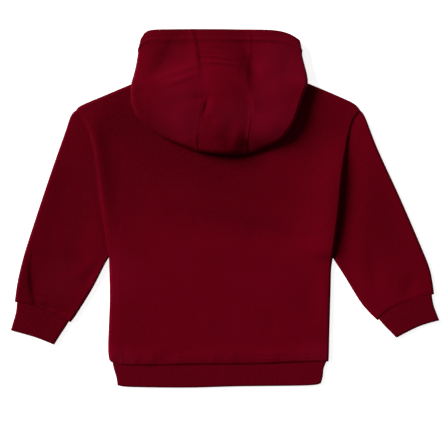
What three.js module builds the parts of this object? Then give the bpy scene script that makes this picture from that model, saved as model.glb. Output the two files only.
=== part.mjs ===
// Child's pullover hoodie with a three-panel hood, laid flat on its front with the back up.
// Millimetres, +Z up. The head end points to +Y and the wearer's right to +X.
// The origin is under the middle of the garment, on the surface that it lies on.

import * as THREE from "three";

// Walls, seams and heights
const cloth = 1.8; // brushed jersey
const ribCloth = 2.4; // rib knit folded double
const hoodHemWall = 3.2; // face edge of the hood, turned in once, down to the second row of the hood tables
const seamGap = 0.35;
const gatherGap = 0.5; // where a sleeve or the body is gathered into its rib
const bodyTop = 7.6; // top of the back panel where it lies flat
const hemEdge = 6; // top of the back panel at the hem seam
const sideSeam = 3.6; // height at which front and back meet along a fold
const sleeveTop = 7.6;
const cuffTop = 6.6;
const bandTop = 6.2;

// Ribs of the cuffs and the hem band, on the side that shows
const ribDepth = 0.6;
const cuffRibs = 24;
const bandRibs = 108;

const bodyColour = 0x5d0213;
const ribColour = 0x550413;

// Outline of the body, from the hem corners up
const sideLeftLine = [
  { x: -182.5, y: -245 },
  { x: -185.5, y: -238 },
  { x: -186.5, y: -215 },
  { x: -184, y: -150 },
  { x: -184.5, y: -100 },
  { x: -185, y: -78 },
];
const armholeLeftLine = [
  { x: -185, y: -78 },
  { x: -190, y: -38 },
  { x: -196.5, y: 2 },
  { x: -202, y: 45 },
  { x: -207.5, y: 85 },
  { x: -214, y: 112 },
  { x: -224, y: 134 },
  { x: -237.5, y: 156.5 },
];
const sideRightLine = [
  { x: 165, y: -244.5 },
  { x: 165.7, y: -235 },
  { x: 166.5, y: -200 },
  { x: 168.5, y: -130 },
  { x: 169.5, y: -97 },
  { x: 172, y: -79 },
];
const armholeRightLine = [
  { x: 172, y: -79 },
  { x: 176, y: -38 },
  { x: 180, y: 0 },
  { x: 185, y: 50 },
  { x: 191, y: 90 },
  { x: 198, y: 122 },
  { x: 206, y: 142 },
  { x: 216, y: 155.5 },
];
const shoulderLeftLine = [
  { x: -237.5, y: 156.5 },
  { x: -229, y: 162.5 },
  { x: -194, y: 179 },
  { x: -149, y: 198 },
  { x: -85, y: 225 },
];
const shoulderRightLine = [
  { x: 72, y: 225 },
  { x: 131, y: 199.5 },
  { x: 179, y: 179.5 },
  { x: 206, y: 165 },
  { x: 216, y: 155.5 },
];
const backNeckLine = [
  { x: -85, y: 225 },
  { x: -70, y: 215.5 },
  { x: -40, y: 210 },
  { x: -6.5, y: 208.5 },
  { x: 27, y: 210 },
  { x: 57, y: 215.5 },
  { x: 72, y: 225 },
];
const frontNeckLine = [
  { x: -85, y: 225 },
  { x: -76, y: 208 },
  { x: -50, y: 189 },
  { x: -6.5, y: 178 },
  { x: 37, y: 189 },
  { x: 63, y: 208 },
  { x: 72, y: 225 },
];
const hemLine = [
  { x: -182.5, y: -245 },
  { x: -164, y: -250.5 },
  { x: -120, y: -251.5 },
  { x: -43, y: -250 },
  { x: 48, y: -249.3 },
  { x: 105, y: -247 },
  { x: 165, y: -244.5 },
];
const underarmAt = 0.42; // share of the rows of a body panel that lie below the underarm
const neckFrom = 0.3; // the columns between these two end at the neckline
const neckTo = 0.7;

// Hem band, from the seam down to its folded edge
const bandInset = { from: 0.008, to: 0.992 }; // the seam draws the band in at both sides
const bandLeftLine = [
  { x: -176, y: -256.5 },
  { x: -171.5, y: -270 },
  { x: -169.5, y: -283 },
];
const bandRightLine = [
  { x: 157.5, y: -255.5 },
  { x: 156, y: -269 },
  { x: 153, y: -279.5 },
];
const bandFootLine = [
  { x: -169.5, y: -283 },
  { x: -147, y: -285.5 },
  { x: -60, y: -286.5 },
  { x: 20, y: -284.5 },
  { x: 130, y: -283 },
  { x: 153, y: -279.5 },
];

// Sleeves: the outer edge from the shoulder and the inner edge from the underarm, both down to the cuff
const sleeveLeftLines = {
  outer: [
    { x: -246, y: 147 },
    { x: -255, y: 121 },
    { x: -278.5, y: 54 },
    { x: -304, y: -22.5 },
    { x: -321, y: -76 },
    { x: -331, y: -118 },
    { x: -335.5, y: -149.5 },
  ],
  inner: [
    { x: -193.5, y: -90.5 },
    { x: -213, y: -127.5 },
    { x: -237, y: -166.5 },
    { x: -246, y: -182 },
  ],
  end: [
    { x: -335.5, y: -149.5 },
    { x: -308, y: -155.5 },
    { x: -285, y: -165 },
    { x: -262, y: -172 },
    { x: -246, y: -182 },
  ],
  cuffOuter: [
    { x: -332, y: -162 },
    { x: -333.5, y: -171 },
    { x: -340.5, y: -195 },
  ],
  cuffInner: [
    { x: -257, y: -190.5 },
    { x: -263.5, y: -201 },
    { x: -273.5, y: -215.5 },
  ],
  cuffFoot: [
    { x: -340.5, y: -195 },
    { x: -302.5, y: -203.5 },
    { x: -273.5, y: -215.5 },
  ],
  towardsCuff: { x: -0.36, y: -0.93 },
};
const sleeveRightLines = {
  outer: [
    { x: 223, y: 144 },
    { x: 243, y: 92.5 },
    { x: 278.5, y: 15.5 },
    { x: 311, y: -61 },
    { x: 325, y: -94.5 },
    { x: 331, y: -118 },
    { x: 333.5, y: -137 },
  ],
  inner: [
    { x: 192, y: -108.5 },
    { x: 216, y: -147.5 },
    { x: 230.5, y: -166 },
    { x: 242, y: -177.5 },
  ],
  end: [
    { x: 333.5, y: -137 },
    { x: 309, y: -144 },
    { x: 280, y: -154 },
    { x: 258, y: -164.5 },
    { x: 242, y: -177.5 },
  ],
  cuffOuter: [
    { x: 330.5, y: -149 },
    { x: 333, y: -159.5 },
    { x: 340.5, y: -179 },
  ],
  cuffInner: [
    { x: 257, y: -187 },
    { x: 265, y: -196.5 },
    { x: 273, y: -206.5 },
  ],
  cuffFoot: [
    { x: 340.5, y: -179 },
    { x: 309, y: -189 },
    { x: 273, y: -206.5 },
  ],
  towardsCuff: { x: 0.4, y: -0.92 },
};
const cuffInset = { from: 0.035, to: 0.93 }; // the cuff seam draws the sleeve in at both sides

// Hood side panels. Each row runs from the seam on top, out to the side fold and back underneath, over a
// bend that takes the first rows round the neck end of the shoulder, to the neck or to the lower stretch of
// the seam. The first row is the face edge and the last is the seam round the crown. "corner" is 1 where the
// row runs straight from the seam to the fold, and larger where it turns down close to the fold.
const hoodColumns = [
  "seamX", "seamY", "seamZ", "foldX", "foldY", "foldZ", "bendX", "bendY", "neckX", "neckY", "rest", "corner",
];
const hoodLeftRows = table(hoodColumns, [
  [-49, 285, 21.5, -134, 268.5, 11, -84, 250, -6.5, 179.2, 0, 14],
  [-46.5, 268, 23, -137.5, 254, 11.5, -84.5, 245, -28, 184, 0, 10],
  [-43, 249.5, 25, -140, 239.5, 12, -85, 240, -49.5, 191, 0, 4],
  [-40, 231.5, 26, -142.5, 225.5, 13, -85.5, 235, -74, 209.5, 0, 2],
  [-39, 215.5, 27.5, -146, 211, 14, -87.5, 232, -86, 228, 0, 1.3],
  [-37, 201.5, 28.5, -149.5, 196.5, 17.5, -88, 222.4, -83, 224.5, 8.8, 1],
  [-34, 187.5, 29, -150, 179.5, 18.5, -84, 207, -66, 214.5, 8.4, 1],
  [-33.5, 174, 28.5, -149, 165.5, 18.5, -72, 198.8, -45, 210.5, 8.4, 1],
  [-35.5, 158, 27.5, -140, 146, 18.5, -78.3, 168.4, -45, 180.5, 8.4, 1],
  [-38.5, 142, 26, -120, 127, 18.5, -75, 142.9, -45, 153.5, 8.4, 1],
  [-41, 125.5, 24, -96, 111.5, 18.5, -68, 121.4, -45, 129.5, 8.4, 1],
  [-43, 111, 22, -69, 99.5, 18.8, -55.5, 105.8, -44.5, 111, 8.4, 1],
  [-44.5, 99.5, 20, -44.5, 90, 19.6, -44.5, 95.2, -44.5, 99.5, 8.4, 1],
]);
const hoodRightRows = table(hoodColumns, [
  [32, 285, 21.5, 119, 267, 11, 71, 250, -6.5, 179.2, 0, 5],
  [35, 268, 23, 121.5, 253.5, 12, 71.5, 245, 15, 184, 0, 4],
  [34, 249.5, 25, 124, 239.5, 13.5, 72, 240, 36.5, 191, 0, 2.5],
  [32.5, 231.5, 26, 127.5, 225.5, 15, 72.5, 235, 61, 209.5, 0, 1.5],
  [30, 215.5, 27.5, 131, 211, 17.5, 74.5, 232, 73, 228, 0, 1],
  [30, 201.5, 28.5, 131.5, 197, 21.5, 75, 222.3, 70, 224.5, 8.8, 1],
  [33.5, 187.5, 29, 126, 182, 23, 70, 207, 53, 214.5, 8.4, 1],
  [39, 173.5, 29, 121, 167, 23.5, 59, 198.4, 35, 210.5, 8.4, 1],
  [40.5, 157.5, 28, 115, 148.5, 23, 63, 169.3, 35, 180.5, 8.4, 1],
  [40, 141.5, 26.5, 105.5, 128.5, 22, 63.2, 143.5, 35, 153.5, 8.4, 1],
  [38, 124.5, 24.5, 89.5, 109, 21, 59.5, 120.3, 35, 129.5, 8.4, 1],
  [35.5, 109.5, 22.5, 62.5, 96.5, 20, 46.8, 103.7, 34, 109.5, 8.4, 1],
  [33.5, 96.5, 20, 33.5, 86, 19.6, 33.5, 91.8, 33.5, 96.5, 8.4, 1],
]);
const backNeckRow = 7; // from this row on, a side panel is sewn to the centre panel underneath too
const bendShare = 0.6; // share of the way underneath at which the bend lies
const crownBulge = 3; // the middle of the centre panel above its seams

// Largest folds: soft ridges and, where the height is negative, troughs
const foldColumns = ["fromX", "fromY", "toX", "toY", "width", "height"];
const backFolds = table(foldColumns, [
  [-200, 110, -120, 10, 30, -1.6],
  [-120, 10, 20, -22, 28, -1.8],
  [20, -22, 120, -45, 24, -1.2],
  [-150, -80, 60, -150, 45, 0.9],
  [-176, -60, -178, -200, 10, 1.4],
]);
const sleeveLeftFolds = table(foldColumns, [
  [-311, -80, -303, -150, 8, -2.4],
  [-295, -90, -282, -150, 12, 1.2],
  [-222, 20, -240, -110, 18, -1],
]);
const sleeveRightFolds = table(foldColumns, [
  [232, 60, 255, -60, 16, -1.2],
  [300, -110, 285, -150, 12, -1],
]);
const hoodFolds = table(foldColumns, [
  [-93, 262, -116, 208, 10, -3.4],
  [-41, 225, -111, 200, 10, 2.6],
  [-30, 171, -37, 146, 6, -3.6],
  [-20, 171, -24, 150, 8, 2.4],
  [36, 222, 40, 202, 7, -2.6],
  [18, 214, 38, 180, 10, 2.4],
  [56, 150, 64, 138, 10, 2.2],
  [76, 140, 84, 130, 9, 2],
]);

// Points of the walls, across and along
const bodyGrid = { across: 24, along: 22 };
const sleeveGrid = { top: 12, under: 9, along: 14 };
const cuffGrid = { top: 2 * cuffRibs, under: 8, along: 2 };
const bandGrid = { top: 2 * bandRibs, under: 16, along: 2 };
const hoodGrid = { upper: 10, lower: 10, across: 6, crown: 6 };
const endPull = 0.9; // how far the rows crowd towards both ends, from 0 to 1
const borderSteps = 160;

const { lerp, clamp, smoothstep } = THREE.MathUtils;

function table(columns, rows) {
  return rows.map((row) => Object.fromEntries(columns.map((column, k) => [column, row[k]])));
}

// Lines in plan, each a function of the share of its length

function curve(points) {
  const spline = new THREE.SplineCurve(points.map((p) => new THREE.Vector2(p.x, p.y)));
  return (u) => spline.getPointAt(clamp(u, 0, 1));
}

function chain(curves, breaks) {
  return (u) => {
    let k = 0;
    while (k < curves.length - 1 && u > breaks[k + 1]) k += 1;
    return curves[k]((u - breaks[k]) / (breaks[k + 1] - breaks[k]));
  };
}

function stretchOf(line, from, to) {
  return (u) => line(lerp(from, to, u));
}

// The line as its chords between these shares, which is how a wall with points there runs along it
function facets(line, shares) {
  return (u) => {
    let k = 0;
    while (k < shares.length - 2 && u > shares[k + 1]) k += 1;
    const within = clamp((u - shares[k]) / (shares[k + 1] - shares[k]), 0, 1);
    return line(shares[k]).lerp(line(shares[k + 1]), within);
  };
}

// The line moved sideways by a distance, to the left of its own direction where that is positive
function beside(line, distance) {
  const step = 0.002;
  return (u) => {
    const way = line(Math.min(u + step, 1)).sub(line(Math.max(u - step, 0))).normalize();
    return line(u).add(new THREE.Vector2(-way.y, way.x).multiplyScalar(distance));
  };
}

// A surface in plan that fills the space between four border lines
function patch({ foot, head, left, right }) {
  const [footLeft, footRight, headLeft, headRight] = [foot(0), foot(1), head(0), head(1)];
  return (u, v) => {
    const point = new THREE.Vector2();
    point.addScaledVector(foot(u), 1 - v).addScaledVector(head(u), v);
    point.addScaledVector(left(v), 1 - u).addScaledVector(right(v), u);
    point.addScaledVector(footLeft, -(1 - u) * (1 - v)).addScaledVector(footRight, -u * (1 - v));
    return point.addScaledVector(headLeft, -(1 - u) * v).addScaledVector(headRight, -u * v);
  };
}

// Unit direction in plan in which the first or the second coordinate of a surface grows
function wayOf(plan, u, v, isAlong) {
  const step = 0.002;
  const [du, dv] = isAlong ? [0, step] : [step, 0];
  const ahead = plan(Math.min(u + du, 1), Math.min(v + dv, 1));
  return ahead.sub(plan(Math.max(u - du, 0), Math.max(v - dv, 0))).normalize();
}

function even(count) {
  return Array.from({ length: count + 1 }, (_, k) => k / count);
}

function graded(count) {
  return even(count).map((x) => x - (endPull * Math.sin(2 * Math.PI * x)) / (2 * Math.PI));
}

// The shares with the nearest one moved onto each of some places that must have a point
function withPlaces(shares, places) {
  const moved = [...shares];
  for (const place of places) {
    const offs = moved.map((share) => Math.abs(share - place));
    moved[offs.indexOf(Math.min(...offs))] = place;
  }
  return moved;
}

// Height that the folds of a table add at a place in plan
function relief(folds, place) {
  let height = 0;
  for (const fold of folds) {
    const from = new THREE.Vector2(fold.fromX, fold.fromY);
    const way = new THREE.Vector2(fold.toX, fold.toY).sub(from);
    const share = clamp(place.clone().sub(from).dot(way) / way.lengthSq(), 0, 1);
    const away = place.distanceTo(from.addScaledVector(way, share)) / fold.width;
    height += fold.height * Math.exp(-away * away) * (0.4 + 0.6 * Math.sin(Math.PI * share));
  }
  return height;
}

// A rounded edge seen from its end: how far it has come up at a distance in, and how much of its run is left
function roundedEdge(distance, radius) {
  const left = 1 - Math.min(distance / radius, 1);
  return { up: Math.sqrt(1 - left * left), left };
}

// Closed wall between an outer and an inner grid of points, a tube where the columns close on themselves
function wallMesh(name, outer, inner, isTube, colour) {
  const rows = outer.length;
  const columns = outer[0].length;
  const spans = isTube ? columns : columns - 1;
  const last = rows - 1;
  const at = (layer, i, j) => (layer * rows + i) * columns + (j % columns);
  const faces = [];
  const quad = (a, b, c, d) => faces.push(a, b, c, a, c, d);
  for (let j = 0; j < spans; j += 1) {
    for (let i = 0; i < last; i += 1) {
      quad(at(0, i, j), at(0, i, j + 1), at(0, i + 1, j + 1), at(0, i + 1, j));
      quad(at(1, i, j), at(1, i + 1, j), at(1, i + 1, j + 1), at(1, i, j + 1));
    }
    quad(at(0, 0, j), at(1, 0, j), at(1, 0, j + 1), at(0, 0, j + 1));
    quad(at(0, last, j), at(0, last, j + 1), at(1, last, j + 1), at(1, last, j));
  }
  for (let i = 0; i < last && !isTube; i += 1) {
    quad(at(0, i, 0), at(0, i + 1, 0), at(1, i + 1, 0), at(1, i, 0));
    quad(at(0, i, spans), at(1, i, spans), at(1, i + 1, spans), at(0, i + 1, spans));
  }
  const points = [...outer.flat(), ...inner.flat()];
  if (signedVolume(points, faces) < 0) faces.reverse();
  const geometry = new THREE.BufferGeometry();
  geometry.setAttribute("position", new THREE.Float32BufferAttribute(points.flatMap((p) => p.toArray()), 3));
  geometry.setIndex(faces);
  geometry.computeVertexNormals();
  const material = new THREE.MeshStandardMaterial({ color: colour, roughness: 0.95, metalness: 0 });
  const mesh = new THREE.Mesh(geometry, material);
  mesh.name = name;
  return mesh;
}

function signedVolume(points, faces) {
  let volume = 0;
  for (let k = 0; k < faces.length; k += 3) {
    const [a, b, c] = [points[faces[k]], points[faces[k + 1]], points[faces[k + 2]]];
    volume += a.dot(b.clone().cross(c)) / 6;
  }
  return volume;
}

// Body panels

const armholeLeft = curve(armholeLeftLine);
const armholeRight = curve(armholeRightLine);
const hem = curve(hemLine);
const bodyLeft = chain([curve(sideLeftLine), armholeLeft], [0, underarmAt, 1]);
const bodyRight = chain([curve(sideRightLine), armholeRight], [0, underarmAt, 1]);
const bodyRows = withPlaces(graded(bodyGrid.along), [underarmAt]);
const bodyColumns = withPlaces(graded(bodyGrid.across), [neckFrom, neckTo]);
const bodyRadius = 8; // run of the rounded edges
const openingRows = 0.06; // rows over which the folded side opens out below the underarm
const ridgeRows = { from: underarmAt, full: 0.6, fading: 0.85, to: 0.97 }; // where an armhole ridge runs
const armholeLeftEdge = { height: 5.6, ridge: 2.6 }; // sewn edge, and the ridge just inside it
const armholeRightEdge = { height: 5, ridge: 4.6 };
const plainEdge = { height: 0, ridge: 0 };
const openingColumns = 0.03; // columns over which the shoulder fold opens out at the neck

function headLine(neckLine) {
  const curves = [curve(shoulderLeftLine), curve(neckLine), curve(shoulderRightLine)];
  return chain(curves, [0, neckFrom, neckTo, 1]);
}

// What each border of a body panel does along its length: the height of its edge, how far the wall leans
// over there, from 0 upright to 1 folded, and the ridge that stands just inside it
function sideBorder(line, seamHeight, armhole) {
  const { from, full, fading, to } = ridgeRows;
  const opened = (v) => smoothstep(v, underarmAt - openingRows, underarmAt);
  return {
    line,
    edge: (v) => lerp(seamHeight, armhole.height, opened(v)),
    lean: (v) => 1 - opened(v),
    ridge: (v) => armhole.ridge * smoothstep(v, from, full) * (1 - smoothstep(v, fading, to)),
  };
}

function headBorder(line, seamHeight, neckHeight) {
  const opened = (u) =>
    smoothstep(u, neckFrom - openingColumns, neckFrom) * (1 - smoothstep(u, neckTo, neckTo + openingColumns));
  return {
    line,
    edge: (u) => lerp(seamHeight, neckHeight, opened(u)),
    lean: (u) => 1 - opened(u),
    ridge: () => 0,
  };
}

function footBorder(line, edgeHeight) {
  return { line, edge: () => edgeHeight, lean: () => 0, ridge: () => 0 };
}

// Nearest place on a border line, by steps along it
function nearest(steps, place) {
  let best = { away: Infinity, share: 0 };
  for (const { point, share } of steps) {
    const away = point.distanceTo(place);
    if (away < best.away) best = { away, share };
  }
  return best;
}

// A panel whose outer side faces up, as the back, or down, as the front. "flat" is its outer height inside.
function bodyPanel(name, borders, flat, faces, folds) {
  const plan = patch({
    foot: borders.foot.line,
    head: borders.head.line,
    left: borders.left.line,
    right: borders.right.line,
  });
  const sides = ["foot", "head", "left", "right"].map((side) => ({
    ...borders[side],
    sign: side === "foot" || side === "left" ? 1 : -1,
    isAlong: side === "foot" || side === "head",
    steps: even(borderSteps).map((share) => ({ share, point: borders[side].line(share) })),
  }));
  const outer = [];
  const inner = [];
  for (const v of bodyRows) {
    const outerRow = [];
    const innerRow = [];
    for (const u of bodyColumns) {
      const place = plan(u, v);
      let drop = 0;
      let turned = 0;
      let height = flat + relief(folds, place);
      const shift = new THREE.Vector2();
      for (const side of sides) {
        const { away, share } = nearest(side.steps, place);
        const beyond = (away - bodyRadius) / bodyRadius;
        height += side.ridge(share) * Math.exp(-beyond * beyond);
      }
      for (const side of sides) {
        const { away, share } = nearest(side.steps, place);
        const { up, left } = roundedEdge(away, bodyRadius);
        const lean = side.lean(share);
        drop = Math.max(drop, Math.abs(height - side.edge(share)) * lerp(left * left, 1 - up, lean));
        turned = Math.max(turned, lean * (1 - up));
        shift.addScaledVector(wayOf(plan, u, v, side.isAlong), side.sign * cloth * lean * left);
      }
      const outerZ = height - faces * drop;
      outerRow.push(new THREE.Vector3(place.x, place.y, outerZ));
      const innerZ = outerZ - faces * cloth * (1 - turned);
      innerRow.push(new THREE.Vector3(place.x + shift.x, place.y + shift.y, innerZ));
    }
    outer.push(outerRow);
    inner.push(innerRow);
  }
  return wallMesh(name, outer, inner, false, bodyColour);
}

function makeBack() {
  const seamHeight = sideSeam + seamGap;
  const borders = {
    foot: footBorder(hem, hemEdge),
    head: headBorder(headLine(backNeckLine), seamHeight, bodyTop),
    left: sideBorder(bodyLeft, seamHeight, armholeLeftEdge),
    right: sideBorder(bodyRight, seamHeight, armholeRightEdge),
  };
  return bodyPanel("back", borders, bodyTop, 1, backFolds);
}

function makeFront() {
  const borders = {
    foot: footBorder(hem, 0),
    head: headBorder(headLine(frontNeckLine), sideSeam, 0),
    left: sideBorder(bodyLeft, sideSeam, plainEdge),
    right: sideBorder(bodyRight, sideSeam, plainEdge),
  };
  return bodyPanel("front", borders, 0, -1, []);
}

// Sleeves, cuffs and hem band: tubes pressed flat, with a fold along each side

function ringSamples(spacing, grid) {
  const top = spacing(grid.top).map((share) => ({ share, face: share > 0 && share < 1 ? 1 : 0 }));
  const under = graded(grid.under).slice(1, -1).reverse();
  return [...top, ...under.map((share) => ({ share, face: -1 }))];
}

// "rows" are shares of the length, "top" gives the outer height for a place and a share of the length, and
// "rib" the extra height of the outer side at a sample of the ring
function flatTube(name, plan, ring, rows, { top, rib, wall, radius, colour }) {
  const outer = [];
  const inner = [];
  for (const v of rows) {
    const folds = [plan(0, v), plan(1, v)];
    const outerRow = [];
    const innerRow = [];
    ring.forEach(({ share, face }, k) => {
      const place = plan(share, v);
      const fromFold = Math.min(place.distanceTo(folds[0]), place.distanceTo(folds[1]));
      const { up, left } = roundedEdge(fromFold, radius);
      const middle = top(folds[share < 0.5 ? 0 : 1], v) / 2;
      const shift = wayOf(plan, share, v, false).multiplyScalar((share < 0.5 ? 1 : -1) * wall * left);
      const upperZ = middle + (top(place, v) - middle) * up;
      const outerZ = face > 0 ? upperZ : middle - middle * up * Math.abs(face);
      const innerZ = outerZ - face * wall * up;
      outerRow.push(new THREE.Vector3(place.x, place.y, outerZ + (face > 0 ? rib(k) * up : 0)));
      innerRow.push(new THREE.Vector3(place.x + shift.x, place.y + shift.y, innerZ));
    });
    outer.push(outerRow);
    inner.push(innerRow);
  }
  return wallMesh(name, outer, inner, true, colour);
}

function noRib() {
  return 0;
}

function everySecond(k) {
  return k % 2 === 1 ? ribDepth : 0;
}

const sleeveRadius = 6;
const sleeveSeamRows = 0.1; // share of the length over which a sleeve rises from the armhole seam to its top
const cuffPress = { from: 0.97, depth: 0.8 }; // the sleeve dips over its last rows, towards the cuff seam

function makeSleeve(name, lines, armhole, side, edge, folds) {
  const armholeRows = bodyRows.filter((v) => v >= underarmAt).map((v) => (v - underarmAt) / (1 - underarmAt));
  const seam = beside(facets(armhole, armholeRows), side * seamGap);
  const head = stretchOf(seam, 1, 0);
  const left = curve([head(0), ...lines.outer]);
  const right = curve([head(1), ...lines.inner]);
  const plan = patch({ foot: head, head: curve(lines.end), left, right });
  const top = (place, v) => {
    const risen = smoothstep(v, 0, sleeveSeamRows);
    const pressed = cuffPress.depth * smoothstep(v, cuffPress.from, 1);
    return lerp(edge.height, sleeveTop + relief(folds, place), risen) - pressed;
  };
  const shape = { top, rib: noRib, wall: cloth, radius: sleeveRadius, colour: bodyColour };
  return flatTube(name, plan, ringSamples(graded, sleeveGrid), graded(sleeveGrid.along), shape);
}

const ribRadius = 4;

function makeCuff(name, lines) {
  const end = stretchOf(curve(lines.end), cuffInset.from, cuffInset.to);
  const gap = new THREE.Vector2(lines.towardsCuff.x, lines.towardsCuff.y).multiplyScalar(gatherGap);
  const seam = (u) => end(u).add(gap);
  const plan = patch({
    foot: seam,
    head: curve(lines.cuffFoot),
    left: curve([seam(0), ...lines.cuffOuter]),
    right: curve([seam(1), ...lines.cuffInner]),
  });
  const shape = { top: () => cuffTop, rib: everySecond, wall: ribCloth, radius: ribRadius, colour: ribColour };
  return flatTube(name, plan, ringSamples(even, cuffGrid), even(cuffGrid.along), shape);
}

function makeHemBand() {
  const drawnIn = stretchOf(facets(hem, bodyColumns), bandInset.from, bandInset.to);
  const seam = (u) => drawnIn(u).add(new THREE.Vector2(0, -gatherGap));
  const plan = patch({
    foot: seam,
    head: curve(bandFootLine),
    left: curve([seam(0), ...bandLeftLine]),
    right: curve([seam(1), ...bandRightLine]),
  });
  const shape = { top: () => bandTop, rib: everySecond, wall: ribCloth, radius: ribRadius, colour: ribColour };
  return flatTube("hem_band", plan, ringSamples(even, bandGrid), even(bandGrid.along), shape);
}

// Hood

// A row between two rows of a table. It comes up steeply where it steps over the shoulder.
function rowAt(rows, r) {
  const k = Math.min(Math.floor(r), rows.length - 2);
  const row = Object.fromEntries(hoodColumns.map((key) => [key, lerp(rows[k][key], rows[k + 1][key], r - k)]));
  row.rest = lerp(rows[k].rest, rows[k + 1].rest, Math.sin((Math.PI / 2) * (r - k)));
  return row;
}

// The first rows of a side panel are sewn to the front neckline, where the front panel has its points
const neckShares = bodyColumns
  .filter((u) => u >= neckFrom && u <= neckTo)
  .map((u) => (u - neckFrom) / (neckTo - neckFrom));
const frontNeck = beside(facets(curve(frontNeckLine), neckShares), seamGap);

function sewnToFront(rows, side) {
  const middle = (neckShares.length - 1) / 2;
  const shares = neckShares.slice(1, middle + 1).reverse();
  shares.push(neckShares[1] / 2);
  return rows.map((row, r) => {
    if (r >= shares.length) return row;
    const place = frontNeck(side < 0 ? shares[r] : 1 - shares[r]);
    return { ...row, neckX: place.x, neckY: place.y };
  });
}

// Rows of the hood walls: the face hem ends sharply at the second one
const hoodRows = [0, 1, 1.1, 2, 3, 4, 4.5, 5, 6, 7, 8, 9, 10, 11, 12];

function hoodWall(r) {
  return r <= 1 ? hoodHemWall : cloth;
}

// A point of a side panel: "share" runs from 0 at the seam on top, over 0.5 at the fold, to 1 underneath
function hoodSidePoint(rows, r, share) {
  const row = rowAt(rows, r);
  const seam = new THREE.Vector2(row.seamX, row.seamY);
  const fold = new THREE.Vector2(row.foldX, row.foldY);
  const neck = new THREE.Vector2(row.neckX, row.neckY);
  const middle = (row.foldZ + row.rest) / 2;
  const radius = Math.min(row.foldZ - middle, seam.distanceTo(fold));
  if (share <= 0.5) {
    const out = 1 - Math.sin(Math.PI * share);
    const place = fold.clone().lerp(seam, out);
    place.y = lerp(fold.y, seam.y, 1 - (1 - out) ** row.corner);
    const { up } = roundedEdge(place.distanceTo(fold), radius);
    const top = lerp(row.foldZ, row.seamZ, Math.sin((Math.PI / 2) * out)) + relief(hoodFolds, place);
    return new THREE.Vector3(place.x, place.y, middle + (top - middle) * up);
  }
  const bend = new THREE.Vector2(row.bendX, row.bendY);
  const past = (2 * share - 1) / bendShare;
  const place = past <= 1 ? fold.clone().lerp(bend, 1 - Math.cos((Math.PI / 2) * past)) : bend.clone();
  const { up } = roundedEdge(place.distanceTo(fold), radius);
  if (past > 1) place.lerp(neck, ((past - 1) * bendShare) / (1 - bendShare));
  return new THREE.Vector3(place.x, place.y, middle - (middle - row.rest) * up);
}

// Inner grid of a hood wall, set in from the outer one along its normals. Points on a seam are set in
// straight down or up, without moving across the seam.
function setIn(outer, depth, isOnSeam) {
  const rows = outer.length;
  const columns = outer[0].length;
  const between = (i, j, di, dj) => {
    const ahead = outer[clamp(i + di, 0, rows - 1)][clamp(j + dj, 0, columns - 1)];
    return ahead.clone().sub(outer[clamp(i - di, 0, rows - 1)][clamp(j - dj, 0, columns - 1)]);
  };
  return outer.map((row, i) =>
    row.map((point, j) => {
      const normal = between(i, j, 0, 1).cross(between(i, j, 1, 0));
      if (isOnSeam(i, j)) normal.x = 0;
      return point.clone().addScaledVector(normal.normalize(), depth(i));
    }),
  );
}

function makeHoodSide(name, cutRows, side) {
  const rows = sewnToFront(cutRows, side);
  const { upper, lower } = hoodGrid;
  const shares = [...even(upper).map((x) => x / 2), ...even(lower).slice(1).map((x) => 0.5 + x / 2)];
  const apart = new THREE.Vector3(side * seamGap, 0, 0);
  const outer = hoodRows.map((r) => shares.map((share) => hoodSidePoint(rows, r, share).add(apart)));
  const lastColumn = shares.length - 1;
  const isOnSeam = (i, j) =>
    j === 0 || hoodRows[i] === rows.length - 1 || (j === lastColumn && hoodRows[i] >= backNeckRow);
  const inner = setIn(outer, (i) => side * hoodWall(hoodRows[i]), isOnSeam);
  return wallMesh(name, outer, inner, false, bodyColour);
}

// The centre panel runs from the face edge over the top, round the crown and back underneath to the neck
function makeHoodCentre() {
  const { across, crown } = hoodGrid;
  const lastRow = hoodLeftRows.length - 1;
  const stations = hoodRows.map((r) => ({ r, share: 0 }));
  for (const x of even(crown + 1).slice(1)) stations.push({ r: lastRow, share: x });
  for (const r of hoodRows.toReversed().slice(1)) {
    if (r >= backNeckRow) stations.push({ r, share: 1 });
  }
  const outer = stations.map(({ r, share }) => {
    const left = hoodSidePoint(hoodLeftRows, r, share);
    const right = hoodSidePoint(hoodRightRows, r, share);
    return even(across).map((u) => {
      const point = left.clone().lerp(right, u);
      const bulge = Math.sin(Math.PI * u) * (share < 1 ? 1 - share : 0);
      if (share === 0 && u > 0 && u < 1) point.z += extraRelief(point, left, right, u);
      point.z += crownBulge * bulge;
      return point;
    });
  });
  const walls = stations.map(({ r }) => hoodWall(r));
  const inner = setIn(outer, (i) => walls[i], (i, j) => j === 0 || j === across);
  return wallMesh("hood_centre", outer, inner, false, bodyColour);
}

// The seams carry the relief of the folds already, so between them only the difference is added
function extraRelief(point, left, right, u) {
  const atSeams = lerp(relief(hoodFolds, planOf(left)), relief(hoodFolds, planOf(right)), u);
  return relief(hoodFolds, planOf(point)) - atSeams;
}

function planOf(point) {
  return new THREE.Vector2(point.x, point.y);
}

const hoodie = new THREE.Group();
hoodie.name = "hoodie";
hoodie.add(makeBack());
hoodie.add(makeFront());
hoodie.add(makeSleeve("sleeve_left", sleeveLeftLines, armholeLeft, 1, armholeLeftEdge, sleeveLeftFolds));
hoodie.add(makeSleeve("sleeve_right", sleeveRightLines, armholeRight, -1, armholeRightEdge, sleeveRightFolds));
hoodie.add(makeCuff("cuff_left", sleeveLeftLines));
hoodie.add(makeCuff("cuff_right", sleeveRightLines));
hoodie.add(makeHemBand());
hoodie.add(makeHoodSide("hood_side_left", hoodLeftRows, -1));
hoodie.add(makeHoodSide("hood_side_right", hoodRightRows, 1));
hoodie.add(makeHoodCentre());

export default hoodie;
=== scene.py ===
import math

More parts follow.
